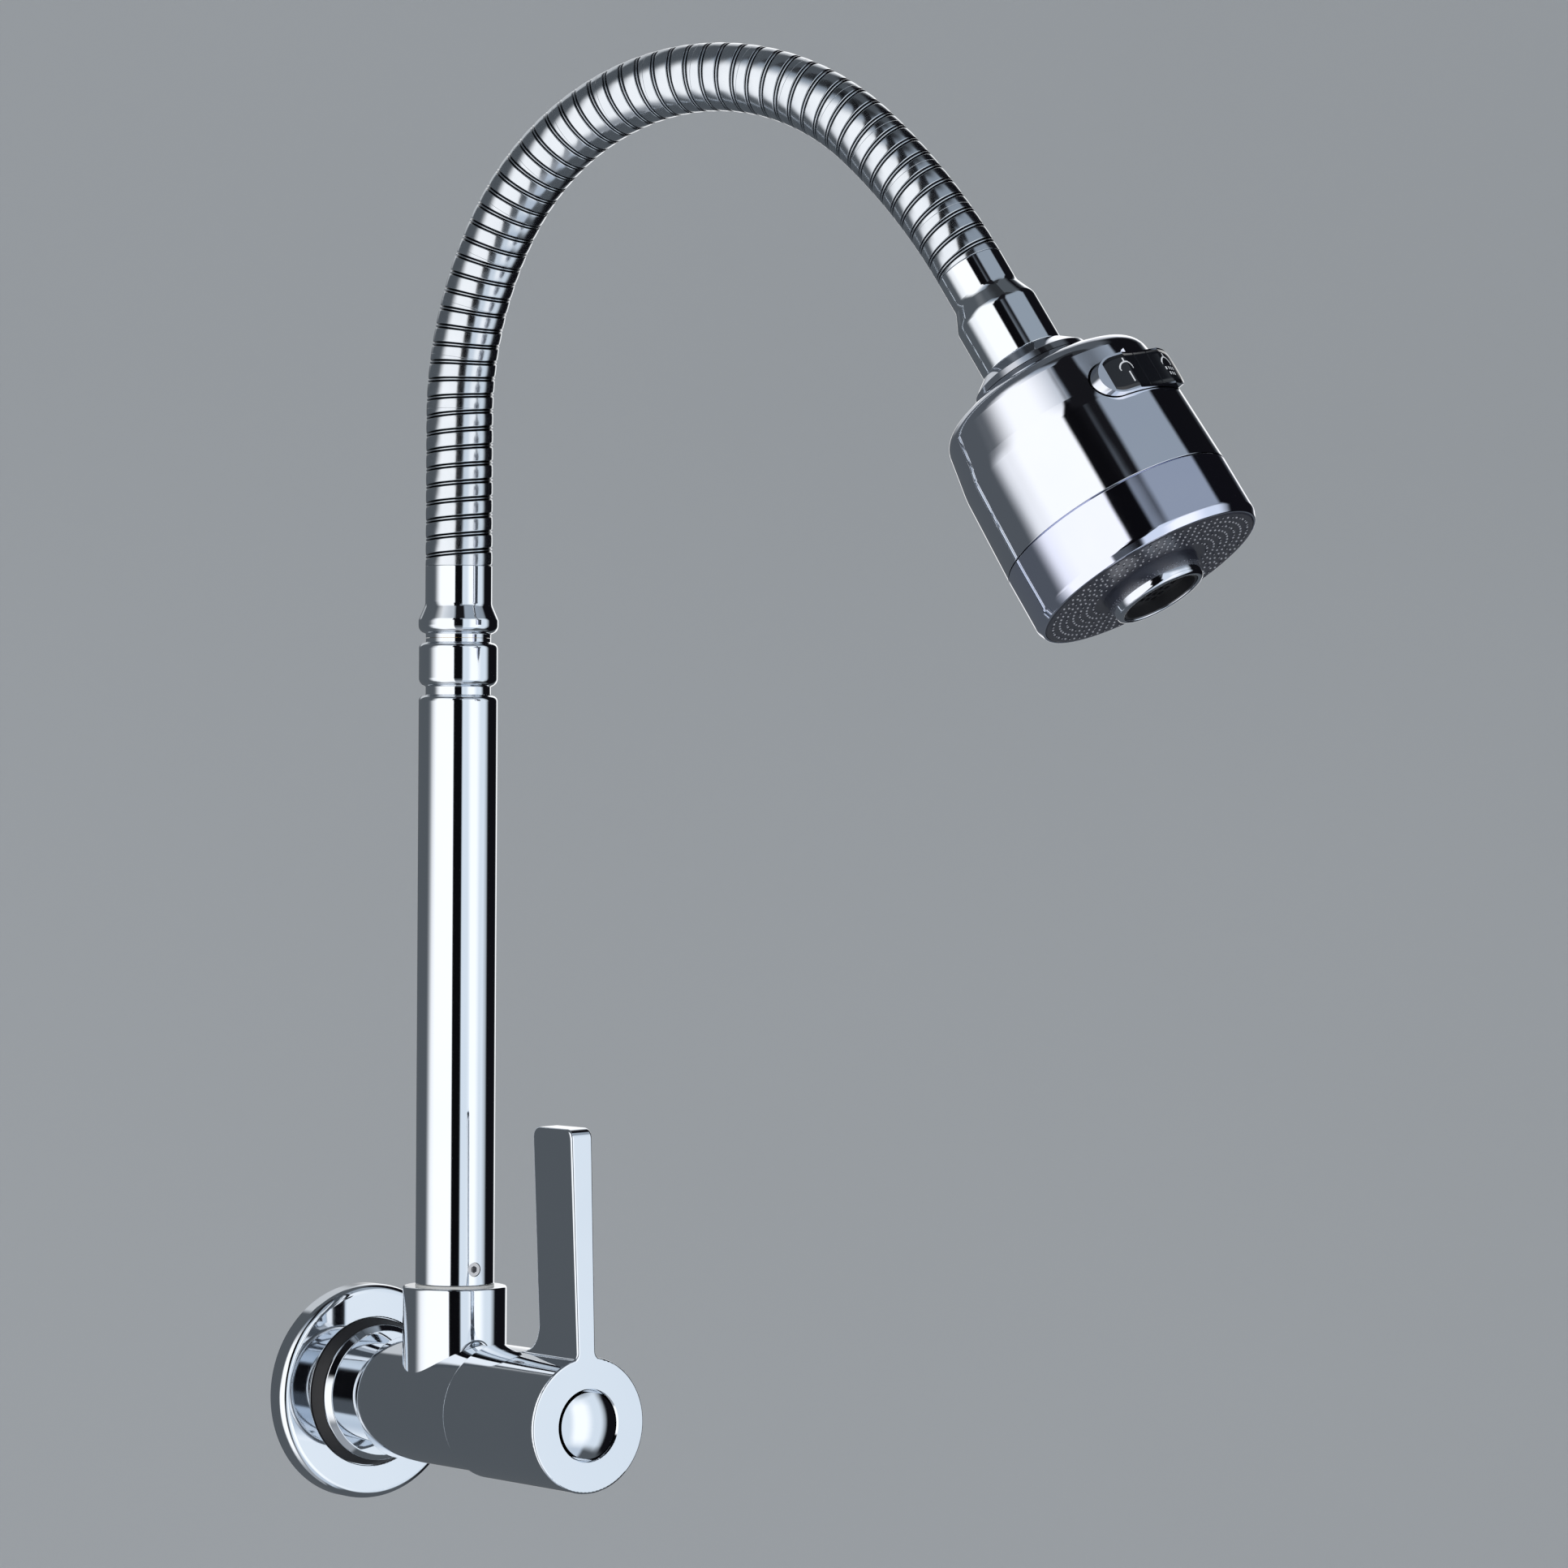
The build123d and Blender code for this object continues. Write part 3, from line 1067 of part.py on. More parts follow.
with BuildPart() as diverter_spool:
    with BuildSketch(SPOOL_PLANE.offset(-SPOOL_LENGTH / 2 + SPOOL_TRAVEL)):
        Circle(SPOOL_R)
    extrude(amount=SPOOL_LENGTH - 2 * SPOOL_TRAVEL)
    with BuildSketch(ROCKER_FRAME.offset(SPOOL_AT - LUG_R - BODY_GAP)) as spool_slot:
        Rectangle(2 * (LUG_R + SEAT_GAP), 2 * SPOOL_R + 2)
    extrude(spool_slot.sketch, amount=2 * SPOOL_R, mode=Mode.SUBTRACT)
save(diverter_spool, "diverter_spool")

# Lower shell, spray face, aerator ring and its insert
LIP_R = SEAM_R - HEAD_WALL - HAIR_GAP
with BuildPart() as head_lower_shell:
    turned(
        HEAD_SIDE,
        [
            (LIP_R - 1.5, LOWER_START - LIP_LENGTH, 0),
            (LIP_R, LOWER_START - LIP_LENGTH, 0.2),
            (LIP_R, LOWER_START, 0),
            (SEAM_R, LOWER_START, 0.15),
            (SEAM_R + 0.1, LOWER_END - 2.2, 2.0),
            (FACE_R + 0.7, LOWER_END, 0.3),
            (FACE_R + HAIR_GAP, LOWER_END, 0),
            (FACE_R + HAIR_GAP, LOWER_START + 1.5, 0),
            (LIP_R - 1.5, LOWER_START + 1.5, 0),
        ],
    )
save(head_lower_shell, "head_lower_shell")

with BuildPart() as spray_face:
    face_top = LOWER_END + SEAT_GAP
    face_bore = AERATOR_R + HAIR_GAP
    turned(
        HEAD_SIDE,
        [
            (face_bore, face_top - FACE_THICKNESS, 0),
            (FACE_R, face_top - FACE_THICKNESS, 0),
            (FACE_R, face_top, 0.5),
            (face_bore, face_top, 0),
        ],
    )
    ring(HEAD_SIDE, FACE_R - 1.6, FACE_R, CORE_FLANGE + CORE_FLANGE_THICKNESS, face_top - FACE_THICKNESS)
    face_plane = Plane(HOSE_END + HEAD_WAY * (face_top - 0.2), x_dir=ROCKER_WAY, z_dir=HEAD_WAY)
    for ring_index in range(NOZZLE_RING_COUNT):
        nozzle_circle = NOZZLE_FIRST_R + ring_index * NOZZLE_RING_GAP
        nozzle_count = round(2 * pi * nozzle_circle / NOZZLE_STEP)
        with BuildSketch(face_plane) as nozzles:
            with PolarLocations(nozzle_circle, nozzle_count):
                Circle(NOZZLE_R)
        extrude(nozzles.sketch, amount=NOZZLE_HEIGHT + 0.2)
save(spray_face, "spray_face")

WELL_START = AERATOR_END - AERATOR_WELL
with BuildPart() as aerator_ring:
    turned(
        HEAD_SIDE,
        [
            (AERATOR_BORE, CORE_FLANGE + CORE_FLANGE_THICKNESS + SEAT_GAP, 0),
            (AERATOR_R, CORE_FLANGE + CORE_FLANGE_THICKNESS + SEAT_GAP, 0),
            (AERATOR_R, AERATOR_END, AERATOR_EDGE),
            (AERATOR_BORE, AERATOR_END, 0.3),
        ],
    )
save(aerator_ring, "aerator_ring")

INSERT_R = AERATOR_BORE - HAIR_GAP
with BuildPart() as aerator_insert:
    insert_low = NOSE_TIP + HAIR_GAP
    insert_plane = Plane(HOSE_END + HEAD_WAY * insert_low, x_dir=ROCKER_WAY, z_dir=HEAD_WAY)
    with BuildSketch(insert_plane):
        Circle(INSERT_R)
        with GridLocations(2.6, 2.6, 6, 6):
            Rectangle(1.7, 1.7, mode=Mode.SUBTRACT)
    extrude(amount=WELL_START - insert_low)
    ring(HEAD_SIDE, INSERT_R - AERATOR_SLEEVE, INSERT_R, insert_low, AERATOR_END - BODY_GAP)
save(aerator_insert, "aerator_insert")

# Report of the sizes that the joints are set from
print("hose length %.2f, rib pitch %.3f, links %d" % (HOSE_LENGTH, RIB_PITCH, LINK_COUNT))
print("hose end", [round(value, 4) for value in HOSE_END])
print("head way", [round(value, 6) for value in HEAD_WAY])
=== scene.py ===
"""Looks of a wall-mounted kitchen faucet with a ribbed, bendable neck and a spray head.

Lengths in the dataclasses are millimetres in the frame's axes: the origin is on the
inlet's axis in the wall plane, +Z is up and the room is at negative Y. They become
metres only when a mesh is made.
"""

import json
import logging
import math
from dataclasses import dataclass, field
from enum import Enum

import bpy
import numpy as np
from mathutils import Matrix, Vector

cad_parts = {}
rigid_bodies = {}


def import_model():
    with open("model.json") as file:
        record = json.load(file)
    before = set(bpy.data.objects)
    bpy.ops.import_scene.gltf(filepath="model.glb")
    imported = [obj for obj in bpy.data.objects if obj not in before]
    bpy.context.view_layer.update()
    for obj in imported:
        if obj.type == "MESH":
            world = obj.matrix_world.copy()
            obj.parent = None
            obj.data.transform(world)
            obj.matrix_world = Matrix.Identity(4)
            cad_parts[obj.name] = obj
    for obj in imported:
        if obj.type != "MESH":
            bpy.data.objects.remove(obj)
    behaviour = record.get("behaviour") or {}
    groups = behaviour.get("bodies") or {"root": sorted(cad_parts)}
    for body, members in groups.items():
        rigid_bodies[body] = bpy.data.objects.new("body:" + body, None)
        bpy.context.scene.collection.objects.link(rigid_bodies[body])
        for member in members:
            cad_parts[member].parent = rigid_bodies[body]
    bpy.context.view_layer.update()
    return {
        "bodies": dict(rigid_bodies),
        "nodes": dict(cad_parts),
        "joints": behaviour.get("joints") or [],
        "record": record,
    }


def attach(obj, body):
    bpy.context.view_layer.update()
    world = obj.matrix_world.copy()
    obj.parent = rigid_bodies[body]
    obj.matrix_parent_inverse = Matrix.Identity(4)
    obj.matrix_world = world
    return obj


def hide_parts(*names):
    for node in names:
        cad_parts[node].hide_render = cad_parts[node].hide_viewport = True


MM = 0.001
# Near black of the painted shade in the neck's slits.
SHADOW = (0.012, 0.013, 0.015, 1.0)
log = logging.getLogger("faucet")


class Signal:
    """A number that varies over a surface, used in Python expressions."""

    def __init__(self, graph: "Graph", socket: bpy.types.NodeSocket) -> None:
        """Wraps an output socket of a graph."""
        self.graph = graph
        self.socket = socket

    def _math(self, operation: str, first: object, second: object) -> "Signal":
        """Adds one Math node.

        Args:
            operation: the Math node's operation.
            first: a Signal or a number.
            second: a Signal or a number.

        Returns:
            The node's result as a Signal.
        """
        node = self.graph.node("ShaderNodeMath", {"operation": operation}, {0: first, 1: second})
        return Signal(self.graph, node.outputs[0])

    def __add__(self, other: object) -> "Signal":
        """Sum."""
        return self._math("ADD", self, other)

    __radd__ = __add__

    def __mul__(self, other: object) -> "Signal":
        """Product."""
        return self._math("MULTIPLY", self, other)

    __rmul__ = __mul__


class Graph:
    """Node tree of a material or of the world."""

    def __init__(self, tree: bpy.types.NodeTree) -> None:
        """Empties a node tree and keeps it."""
        tree.nodes.clear()
        self.tree = tree

    def node(self, kind: str, settings: dict | None = None, inputs: dict | None = None) -> bpy.types.Node:
        """Adds a node.

        Args:
            kind: the node's type name.
            settings: attributes set before the sockets.
            inputs: socket name or number to a constant, a Signal or an output socket.

        Returns:
            The new node.
        """
        made = self.tree.nodes.new(kind)
        for name, value in (settings or {}).items():
            setattr(made, name, value)
        for name, value in (inputs or {}).items():
            if isinstance(value, Signal):
                self.tree.links.new(value.socket, made.inputs[name])
            elif isinstance(value, bpy.types.NodeSocket):
                self.tree.links.new(value, made.inputs[name])
            else:
                made.inputs[name].default_value = value
        return made

    @classmethod
    def material(cls, name: str) -> tuple[bpy.types.Material, "Graph"]:
        """New material and its empty node tree."""
        made = bpy.data.materials.new(name)
        made.use_nodes = True
        return made, cls(made.node_tree)

    def surface(self, inputs: dict) -> None:
        """Adds the Principled shader with these inputs, and the material's output."""
        shader = self.node("ShaderNodeBsdfPrincipled", None, inputs)
        output = self.node("ShaderNodeOutputMaterial", None, {"Surface": shader.outputs[0]})
        output.is_active_output = True

    def mix(self, share: object, first: object, second: object) -> bpy.types.NodeSocket:
        """Colour that runs from the first to the second as share goes from 0 to 1."""
        inputs = {"Factor": share, 6: first, 7: second}
        return self.node("ShaderNodeMix", {"data_type": "RGBA"}, inputs).outputs[2]

    def noise(self, size: float, detail: float) -> Signal:
        """Cloudy noise from 0 to 1 whose blobs are about size millimetres across."""
        where = self.node("ShaderNodeTexCoord")
        made = self.node(
            "ShaderNodeTexNoise",
            {"noise_dimensions": "3D"},
            {"Vector": where.outputs["Object"], "Scale": 1.0 / (size * MM), "Detail": detail},
        )
        return Signal(self, made.outputs["Fac"])

    def bump(self, height: Signal, depth: float) -> bpy.types.NodeSocket:
        """Normal bent by a height pattern that is depth millimetres deep."""
        inputs = {"Height": height, "Distance": depth * MM, "Strength": 1.0}
        return self.node("ShaderNodeBump", None, inputs).outputs["Normal"]


@dataclass(frozen=True)
class Finish:
    """A surface finish; sizes are millimetres, colours are linear, haze_size is a share of blotch."""

    name: str
    colour: tuple[float, float, float]
    shade: tuple[float, float, float]
    roughness: float
    metallic: float = 0.0
    blotch: float = 20.0
    haze: float = 0.0
    haze_size: float = 0.35
    ripple: float = 0.0
    ripple_size: float = 30.0
    grain: float = 0.0
    grain_size: float = 0.5
    coat: float = 0.0
    shadowed: str = ""

    def build(self) -> bpy.types.Material:
        """Makes the material.

        The colour runs between colour and shade in soft blotches, and to near black, painted shade, where the
        attribute that shadowed names is one. The roughness gains haze in the same way, and the normal follows
        a wide ripple or a fine grain.

        Returns:
            The finished material.
        """
        material, graph = Graph.material(self.name)
        blotches = graph.noise(self.blotch, 3.0)
        mixed = graph.mix(blotches, (*self.colour, 1.0), (*self.shade, 1.0))
        # Painted shade: near black where the attribute named by shadowed is one.
        if self.shadowed:
            stored = graph.node("ShaderNodeAttribute", {"attribute_name": self.shadowed})
            mixed = graph.mix(stored.outputs["Fac"], mixed, SHADOW)
        roughness = self.roughness
        if self.haze:
            roughness += self.haze * graph.noise(self.blotch * self.haze_size, 4.0)
        inputs = {
            "Base Color": mixed,
            "Metallic": self.metallic,
            "Roughness": roughness,
            "Coat Weight": self.coat,
        }
        height = self._height(graph)
        if height is not None:
            inputs["Normal"] = height
        graph.surface(inputs)
        return material

    def _height(self, graph: Graph) -> bpy.types.NodeSocket | None:
        """Normal with the ripple or else the grain, or nothing where both are zero."""
        if self.ripple:
            return graph.bump(graph.noise(self.ripple_size, 1.0), self.ripple)
        if self.grain:
            return graph.bump(graph.noise(self.grain_size, 2.0), self.grain)
        return None


CHROME = Finish(
    "bright_chrome",
    (0.80, 0.83, 0.87),
    (0.76, 0.80, 0.85),
    0.035,
    1.0,
    haze=0.02,
    ripple=0.01,
    ripple_size=24.0,
)
HEAD_CHROME = Finish(
    "plated_plastic",
    (0.78, 0.80, 0.86),
    (0.73, 0.76, 0.84),
    0.035,
    1.0,
    haze=0.02,
    ripple=0.06,
    ripple_size=18.0,
)
NECK_CHROME = Finish(
    "neck_satin_chrome",
    (0.72, 0.75, 0.79),
    (0.62, 0.66, 0.71),
    0.12,
    1.0,
    blotch=6.0,
    haze=0.08,
    ripple=0.012,
    ripple_size=3.0,
    # The neck's slits get painted shade from the attribute stored on the skin's points.
    shadowed="slit_painted_shade",
)
LOWER_CHROME = Finish(
    "violet_plated_plastic",
    (0.76, 0.78, 0.90),
    (0.70, 0.73, 0.88),
    0.04,
    1.0,
    haze=0.02,
    ripple=0.04,
    ripple_size=18.0,
)
BRASS = Finish("machined_brass", (0.72, 0.50, 0.21), (0.62, 0.42, 0.17), 0.24, 1.0, haze=0.1, grain=0.01)
STEEL = Finish("stainless_steel", (0.56, 0.56, 0.57), (0.48, 0.48, 0.50), 0.26, 1.0, haze=0.1, grain=0.01)
CERAMIC = Finish(
    "lapped_ceramic", (0.82, 0.80, 0.74), (0.76, 0.74, 0.69), 0.22, grain=0.005, grain_size=0.3
)
RUBBER = Finish(
    "seal_rubber", (0.010, 0.010, 0.012), (0.016, 0.016, 0.018), 0.5, grain=0.02, grain_size=0.4
)
HOSE_RUBBER = Finish(
    "hose_rubber", (0.06, 0.065, 0.07), (0.04, 0.045, 0.05), 0.5, grain=0.02, grain_size=0.6
)
WHITE_PLASTIC = Finish("slip_plastic", (0.78, 0.78, 0.75), (0.72, 0.72, 0.70), 0.42, grain=0.01)
CORE_PLASTIC = Finish("core_plastic", (0.20, 0.21, 0.22), (0.16, 0.17, 0.18), 0.45, grain=0.015)
FACE_PLASTIC = Finish(
    "spray_face_plastic",
    (0.060, 0.062, 0.082),
    (0.045, 0.047, 0.064),
    0.38,
    grain=0.012,
    grain_size=0.35,
    coat=0.15,
)
# Pale dots: painted highlight for the glints at the spray face's nozzle holes.
NOZZLE_GLINT_PAINT = Finish(
    "nozzle_painted_glint", (0.74, 0.75, 0.80), (0.64, 0.65, 0.71), 0.45, grain=0.01, grain_size=0.2
)
INSERT_PLASTIC = Finish(
    "aerator_plastic", (0.035, 0.036, 0.040), (0.022, 0.022, 0.026), 0.35, grain=0.012
)
PAD_GLOSS = Finish(
    "rocker_pad_gloss", (0.006, 0.007, 0.010), (0.010, 0.011, 0.014), 0.12, grain=0.002, coat=0.1
)
MARK_INK = Finish(
    "rocker_mark_ink", (0.78, 0.80, 0.83), (0.66, 0.68, 0.72), 0.35, grain=0.01, grain_size=0.2
)


class Dressing(Enum):
    """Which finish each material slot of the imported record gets."""

    chrome_brass = CHROME
    button_chrome = CHROME
    neck_steel = NECK_CHROME
    head_chrome = HEAD_CHROME
    brass = BRASS
    steel = STEEL
    ceramic = CERAMIC
    seal_rubber = RUBBER
    hose_rubber = HOSE_RUBBER
    slip_plastic = WHITE_PLASTIC
    core_plastic = CORE_PLASTIC
    face_plastic = FACE_PLASTIC
    aerator_plastic = INSERT_PLASTIC


class Palette:
    """Materials made once for each finish."""

    def __init__(self) -> None:
        """Starts with no material made."""
        self._made: dict[str, bpy.types.Material] = {}

    def get(self, finish: Finish) -> bpy.types.Material:
        """Material of a finish, made at its first use."""
        if finish.name not in self._made:
            self._made[finish.name] = finish.build()
        return self._made[finish.name]

    def dress(self, piece: bpy.types.Object, finish: Finish) -> None:
        """Gives every material slot of a piece one finish."""
        material = self.get(finish)
        if not piece.data.materials:
            piece.data.materials.append(material)
        for place in range(len(piece.data.materials)):
            piece.data.materials[place] = material

    def outfit(self, piece: bpy.types.Object, finish: Finish, slot: str, body: str, node: str = "") -> None:
        """Dresses a finished piece, puts it on its body, and hides the CAD node that it replaces.

        Args:
            piece: the piece.
            finish: its finish.
            slot: the material slot that it stands for; not used.
            body: the body that it rides on.
            node: the CAD node that it replaces, if any.
        """
        self.dress(piece, finish)
        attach(piece, body)
        if node:
            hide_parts(node)


def full_turn(count: int) -> np.ndarray:
    """Even angles round a full turn."""
    return np.linspace(0.0, 2 * np.pi, count, endpoint=False)


def sheet_faces(rows: int, columns: int, wrap_rows: bool, wrap_columns: bool) -> np.ndarray:
    """Quads of a grid of points stored row by row.

    A face joins point (i, j) to (i, j + 1), (i + 1, j + 1) and (i + 1, j), and the last
    row or column joins the first one where it wraps.

    Args:
        rows: number of rows of points.
        columns: number of points in a row.
        wrap_rows: whether the last row joins the first.
        wrap_columns: whether the last column joins the first.

    Returns:
        An array of four point numbers for each face.
    """
    across = np.arange(columns - (not wrap_columns))
    i, j = np.meshgrid(np.arange(rows - (not wrap_rows)), across, indexing="ij")
    here = i * columns
    below = (i + 1) % rows * columns
    after = (j + 1) % columns
    quads = np.stack([here + j, here + after, below + after, below + j], axis=-1)
    return quads.reshape(-1, 4)


def make_piece(
    name: str, points: np.ndarray, faces: np.ndarray, flat: np.ndarray | None = None
) -> bpy.types.Object:
    """Makes a smooth mesh object from points in millimetres.

    Args:
        name: the object's name.
        points: an array of points, three numbers each.
        faces: an array of point numbers, one row for each face.
        flat: whether each face is shaded flat; none is if left out.

    Returns:
        The new object, at the origin.
    """
    mesh = bpy.data.meshes.new(name)
    sides = faces.shape[1]
    mesh.vertices.add(len(points))
    mesh.vertices.foreach_set("co", (points * MM).astype(np.float32).ravel())
    mesh.loops.add(faces.size)
    mesh.loops.foreach_set("vertex_index", faces.astype(np.int32).ravel())
    mesh.polygons.add(len(faces))
    mesh.polygons.foreach_set("loop_start", np.arange(0, faces.size, sides, dtype=np.int32))
    smooth = np.ones(len(faces), bool) if flat is None else ~flat
    mesh.polygons.foreach_set("use_smooth", smooth)
    mesh.update(calc_edges=True)
    mesh.validate()
    piece = bpy.data.objects.new(name, mesh)
    bpy.context.scene.collection.objects.link(piece)
    return piece


@dataclass(frozen=True)
class NeckLine:
    """Centreline of the spout and neck: straight up, then three arcs in one upright plane."""

    out: float = 47.1
    start: float = 234.1
    turn: float = 24.3
    straight: float = 41.5
    radii: tuple[float, float, float] = (108.0, 73.5, 175.0)
    bends: tuple[float, float, float] = (30.3, 101.5, 15.7)

    @property
    def away(self) -> np.ndarray:
        """Level direction that the arch leans in."""
        return np.array([math.sin(math.radians(self.turn)), -math.cos(math.radians(self.turn)), 0.0])

    @property
    def hinge(self) -> np.ndarray:
        """Level direction square to the arch, the axis that the neck bends about."""
        return np.array([math.cos(math.radians(self.turn)), math.sin(math.radians(self.turn)), 0.0])

    @property
    def length(self) -> float:
        """Length of the centreline from the ferrule to the head's adapter."""
        return self.straight + sum(r * math.radians(b) for r, b in zip(self.radii, self.bends))

    def at(self, run: np.ndarray) -> tuple[np.ndarray, np.ndarray]:
        """Points and directions at lengths along the centreline.

        Each arc adds radius times (cos of its first lean less cos of its last) outwards,
        and radius times (sin of its last lean less sin of its first) upwards.

        Args:
            run: lengths from the ferrule.

        Returns:
            The points and the unit directions, one row for each length.
        """
        run = np.atleast_1d(np.asarray(run, float))
        high = self.start + np.minimum(run, self.straight)
        out = np.zeros_like(run)
        lean = np.zeros_like(run)
        left = np.maximum(run - self.straight, 0.0)
        for radius, bend in zip(self.radii, self.bends):
            step = np.minimum(left, radius * math.radians(bend))
            turned = lean + step / radius
            out += radius * (np.cos(lean) - np.cos(turned))
            high += radius * (np.sin(turned) - np.sin(lean))
            lean = turned
            left = left - step
        out += left * np.sin(lean)
        high += left * np.cos(lean)
        up = np.array([0.0, 0.0, 1.0])
        points = np.array([0.0, -self.out, 0.0]) + out[:, None] * self.away + high[:, None] * up
        ways = np.sin(lean)[:, None] * self.away + np.cos(lean)[:, None] * up
        return points, ways


@dataclass
class RibbedNeck:
    """The ribbed neck and the water hose inside it.

    Both are cut at the joints, and each length rides on its own link. Under the skin, a
    round sleeve at each joint shows where two links open as the neck bends.
    """

    line: NeckLine
    palette: Palette
    ribs: int = 57
    foot_ribs: int = 9
    link_ribs: int = 3
    crest: float = 9.3
    slit: float = 0.65
    slit_width: float = 0.17
    slit_off: float = 0.42
    # Gain of the painted shade in the slits.
    slit_dark: float = 1.5
    ridge: float = 0.10
    ridge_width: float = 0.20
    crown: float = 0.15
    bore: float = 6.6
    sleeve_ball: float = 8.4
    sleeve_bore: float = 6.0
    sleeve_reach: float = 4.5
    sleeve_rows: int = 13
    hose: float = 5.5
    hose_wall: float = 1.3
    hose_start: float = -10.0
    hose_end_gap: float = 8.3
    around: int = 96
    steps: int = 56
    hose_around: int = 20
    hose_steps: int = 2
    phase: float = 0.35

    @property
    def pitch(self) -> float:
        """Distance from one rib to the next."""
        return self.line.length / self.ribs

    @property
    def links(self) -> int:
        """Number of links that bend."""
        return (self.ribs - self.foot_ribs) // self.link_ribs

    def skin(self, run: np.ndarray, angle: np.ndarray) -> tuple[np.ndarray, np.ndarray]:
        """Radius and painted shade of the wound strip.

        The strip runs as a right-handed spiral, so its phase is the length over the pitch
        less the angle over a full turn. With x the distance from the seam's middle, the
        radius is the crest's, less a crown that grows as the square towards the seam,
        less a bell-shaped slit on each side of the seam, plus a round ridge between them.

        Args:
            run: lengths along the neck.
            angle: angles round it in radians.

        Returns:
            Radii, and shares from 0 to 1 of how deep in a slit each point lies, both of the
            same shape as the two arrays together.
        """
        turns = run / self.pitch - angle / (2 * np.pi) + self.phase
        place = (turns - np.floor(turns) - 0.5) * self.pitch
        side = np.abs(place)
        dip = np.exp(-(((side - self.slit_off) / self.slit_width) ** 2))
        ridge = self.ridge * np.exp(-((place / self.ridge_width) ** 2))
        swell = self.crown * (1 - 2 * side / self.pitch) ** 2
        # The second value is painted shade in the slits.
        return self.crest - swell - self.slit * dip + ridge, np.clip(self.slit_dark * dip, 0.0, 1.0)

    def rings(self, centre: np.ndarray, way: np.ndarray, radius: np.ndarray, angle: np.ndarray) -> np.ndarray:
        """Points of rings round a line.

        A point is its ring's centre, plus radius times (cos angle along the hinge's
        direction plus sin angle along the direction square to it and to the line).

        Args:
            centre: the rings' centres, one row each.
            way: the line's direction at each ring.
            radius: radii, one row for each ring.
            angle: angles round the line in radians, as one row.

        Returns:
            The points, three numbers each, ring after ring.
        """
        side = np.broadcast_to(self.line.hinge, way.shape)
        square = np.cross(way, side)
        points = (
            centre[:, None, :]
            + (radius * np.cos(angle))[:, :, None] * side[:, None, :]
            + (radius * np.sin(angle))[:, :, None] * square[:, None, :]
        )
        return points.reshape(-1, 3)

    def tube(self, name: str, first: float, last: float, ribbed: bool) -> bpy.types.Object:
        """Closed length of tube along the neck's line, with the skin's or the hose's radii.

        Args:
            name: the piece's name.
            first: length along the neck where it starts.
            last: length where it ends.
            ribbed: whether it is the wound skin or the plain hose.

        Returns:
            The new piece.
        """
        around = self.around if ribbed else self.hose_around
        per_rib = self.steps if ribbed else self.hose_steps
        steps = max(2, round((last - first) / self.pitch * per_rib))
        angle = full_turn(around)[None, :]
        outer_run = np.linspace(first, last, steps + 1)
        inner_run = np.linspace(last, first, max(2, steps // 8) + 1)
        if ribbed:
            outer, dark = self.skin(outer_run[:, None], angle)
            inner_radius = self.bore
        else:
            outer = np.full((len(outer_run), around), self.hose)
            dark = np.zeros_like(outer)
            inner_radius = self.hose - self.hose_wall
        inside = np.full((len(inner_run), around), inner_radius)
        run = np.concatenate([outer_run, inner_run])
        points = self.rings(*self.line.at(run), np.vstack([outer, inside]), angle)
        faces = sheet_faces(len(run), around, True, True)
        strip = np.repeat(np.arange(len(run)), around)
        caps = (strip == len(outer_run) - 1) | (strip == len(run) - 1)
        piece = make_piece(name, points, faces, caps)
        # Painted shade in the slits, kept at each point for the neck's finish.
        slit_painted_shade = piece.data.attributes.new("slit_painted_shade", "FLOAT", "POINT")
        slit_painted_shade.data.foreach_set("value", np.vstack([dark, np.zeros_like(inside)]).ravel())
        return piece

    def sleeve(self, name: str, run: float) -> bpy.types.Object:
        """Round sleeve under the skin at a joint, which shows where the links open.

        Its outer face is a ball's about the joint: the radius is the root of the ball's
        radius squared less the square of the distance along the neck.

        Args:
            name: the piece's name.
            run: length along the neck where the joint is.

        Returns:
            The new piece.
        """
        angle = full_turn(self.around)[None, :]
        outer = np.linspace(-self.sleeve_reach, self.sleeve_reach, self.sleeve_rows)
        inner = np.array([self.sleeve_reach, -self.sleeve_reach])
        ball = np.sqrt(self.sleeve_ball**2 - outer**2)
        radius = np.concatenate([ball, np.full_like(inner, self.sleeve_bore)])[:, None]
        along = np.concatenate([outer, inner])[:, None]
        centre, way = self.line.at(np.array([run]))
        points = self.rings(centre + along * way, np.repeat(way, len(along), axis=0), radius, angle)
        strip = np.repeat(np.arange(len(along)), self.around)
        faces = sheet_faces(len(along), self.around, True, True)
        return make_piece(name, points, faces, strip >= self.sleeve_rows - 1)

    def body(self, number: int) -> str:
        """Body that a length of the neck rides on, 0 for the foot."""
        if number == 0:
            return "spout"
        return "neck_end" if number == self.links else "neck_%02d" % number

    def spans(self, first: float, last: float) -> list[tuple[float, float]]:
        """Lengths where the neck is cut into pieces, one at each joint."""
        cuts = [(self.foot_ribs + self.link_ribs * k) * self.pitch for k in range(self.links)]
        marks = [first, *cuts, last]
        return list(zip(marks[:-1], marks[1:]))

    def build(self) -> None:
        """Makes the skin and the hose, and dresses them."""
        for number, (first, last) in enumerate(self.spans(0.0, self.line.length)):
            piece = self.tube("neck_skin_%02d" % number, first, last, True)
            node = "neck_link_%02d" % number if number else "neck_foot"
            self.palette.outfit(piece, NECK_CHROME, "neck_steel", self.body(number), node)
            if number:
                piece = self.sleeve("neck_sleeve_%02d" % number, first)
                self.palette.outfit(piece, NECK_CHROME, "neck_steel", self.body(number - 1))
        hose_end = self.line.length - self.hose_end_gap
        for number, (first, last) in enumerate(self.spans(self.hose_start, hose_end)):
            piece = self.tube("water_hose_%02d" % number, first, last, False)
            self.palette.outfit(piece, HOSE_RUBBER, "hose_rubber", self.body(number), "inner_hose")
        log.info("neck pieces: %d", 3 * self.links + 2)


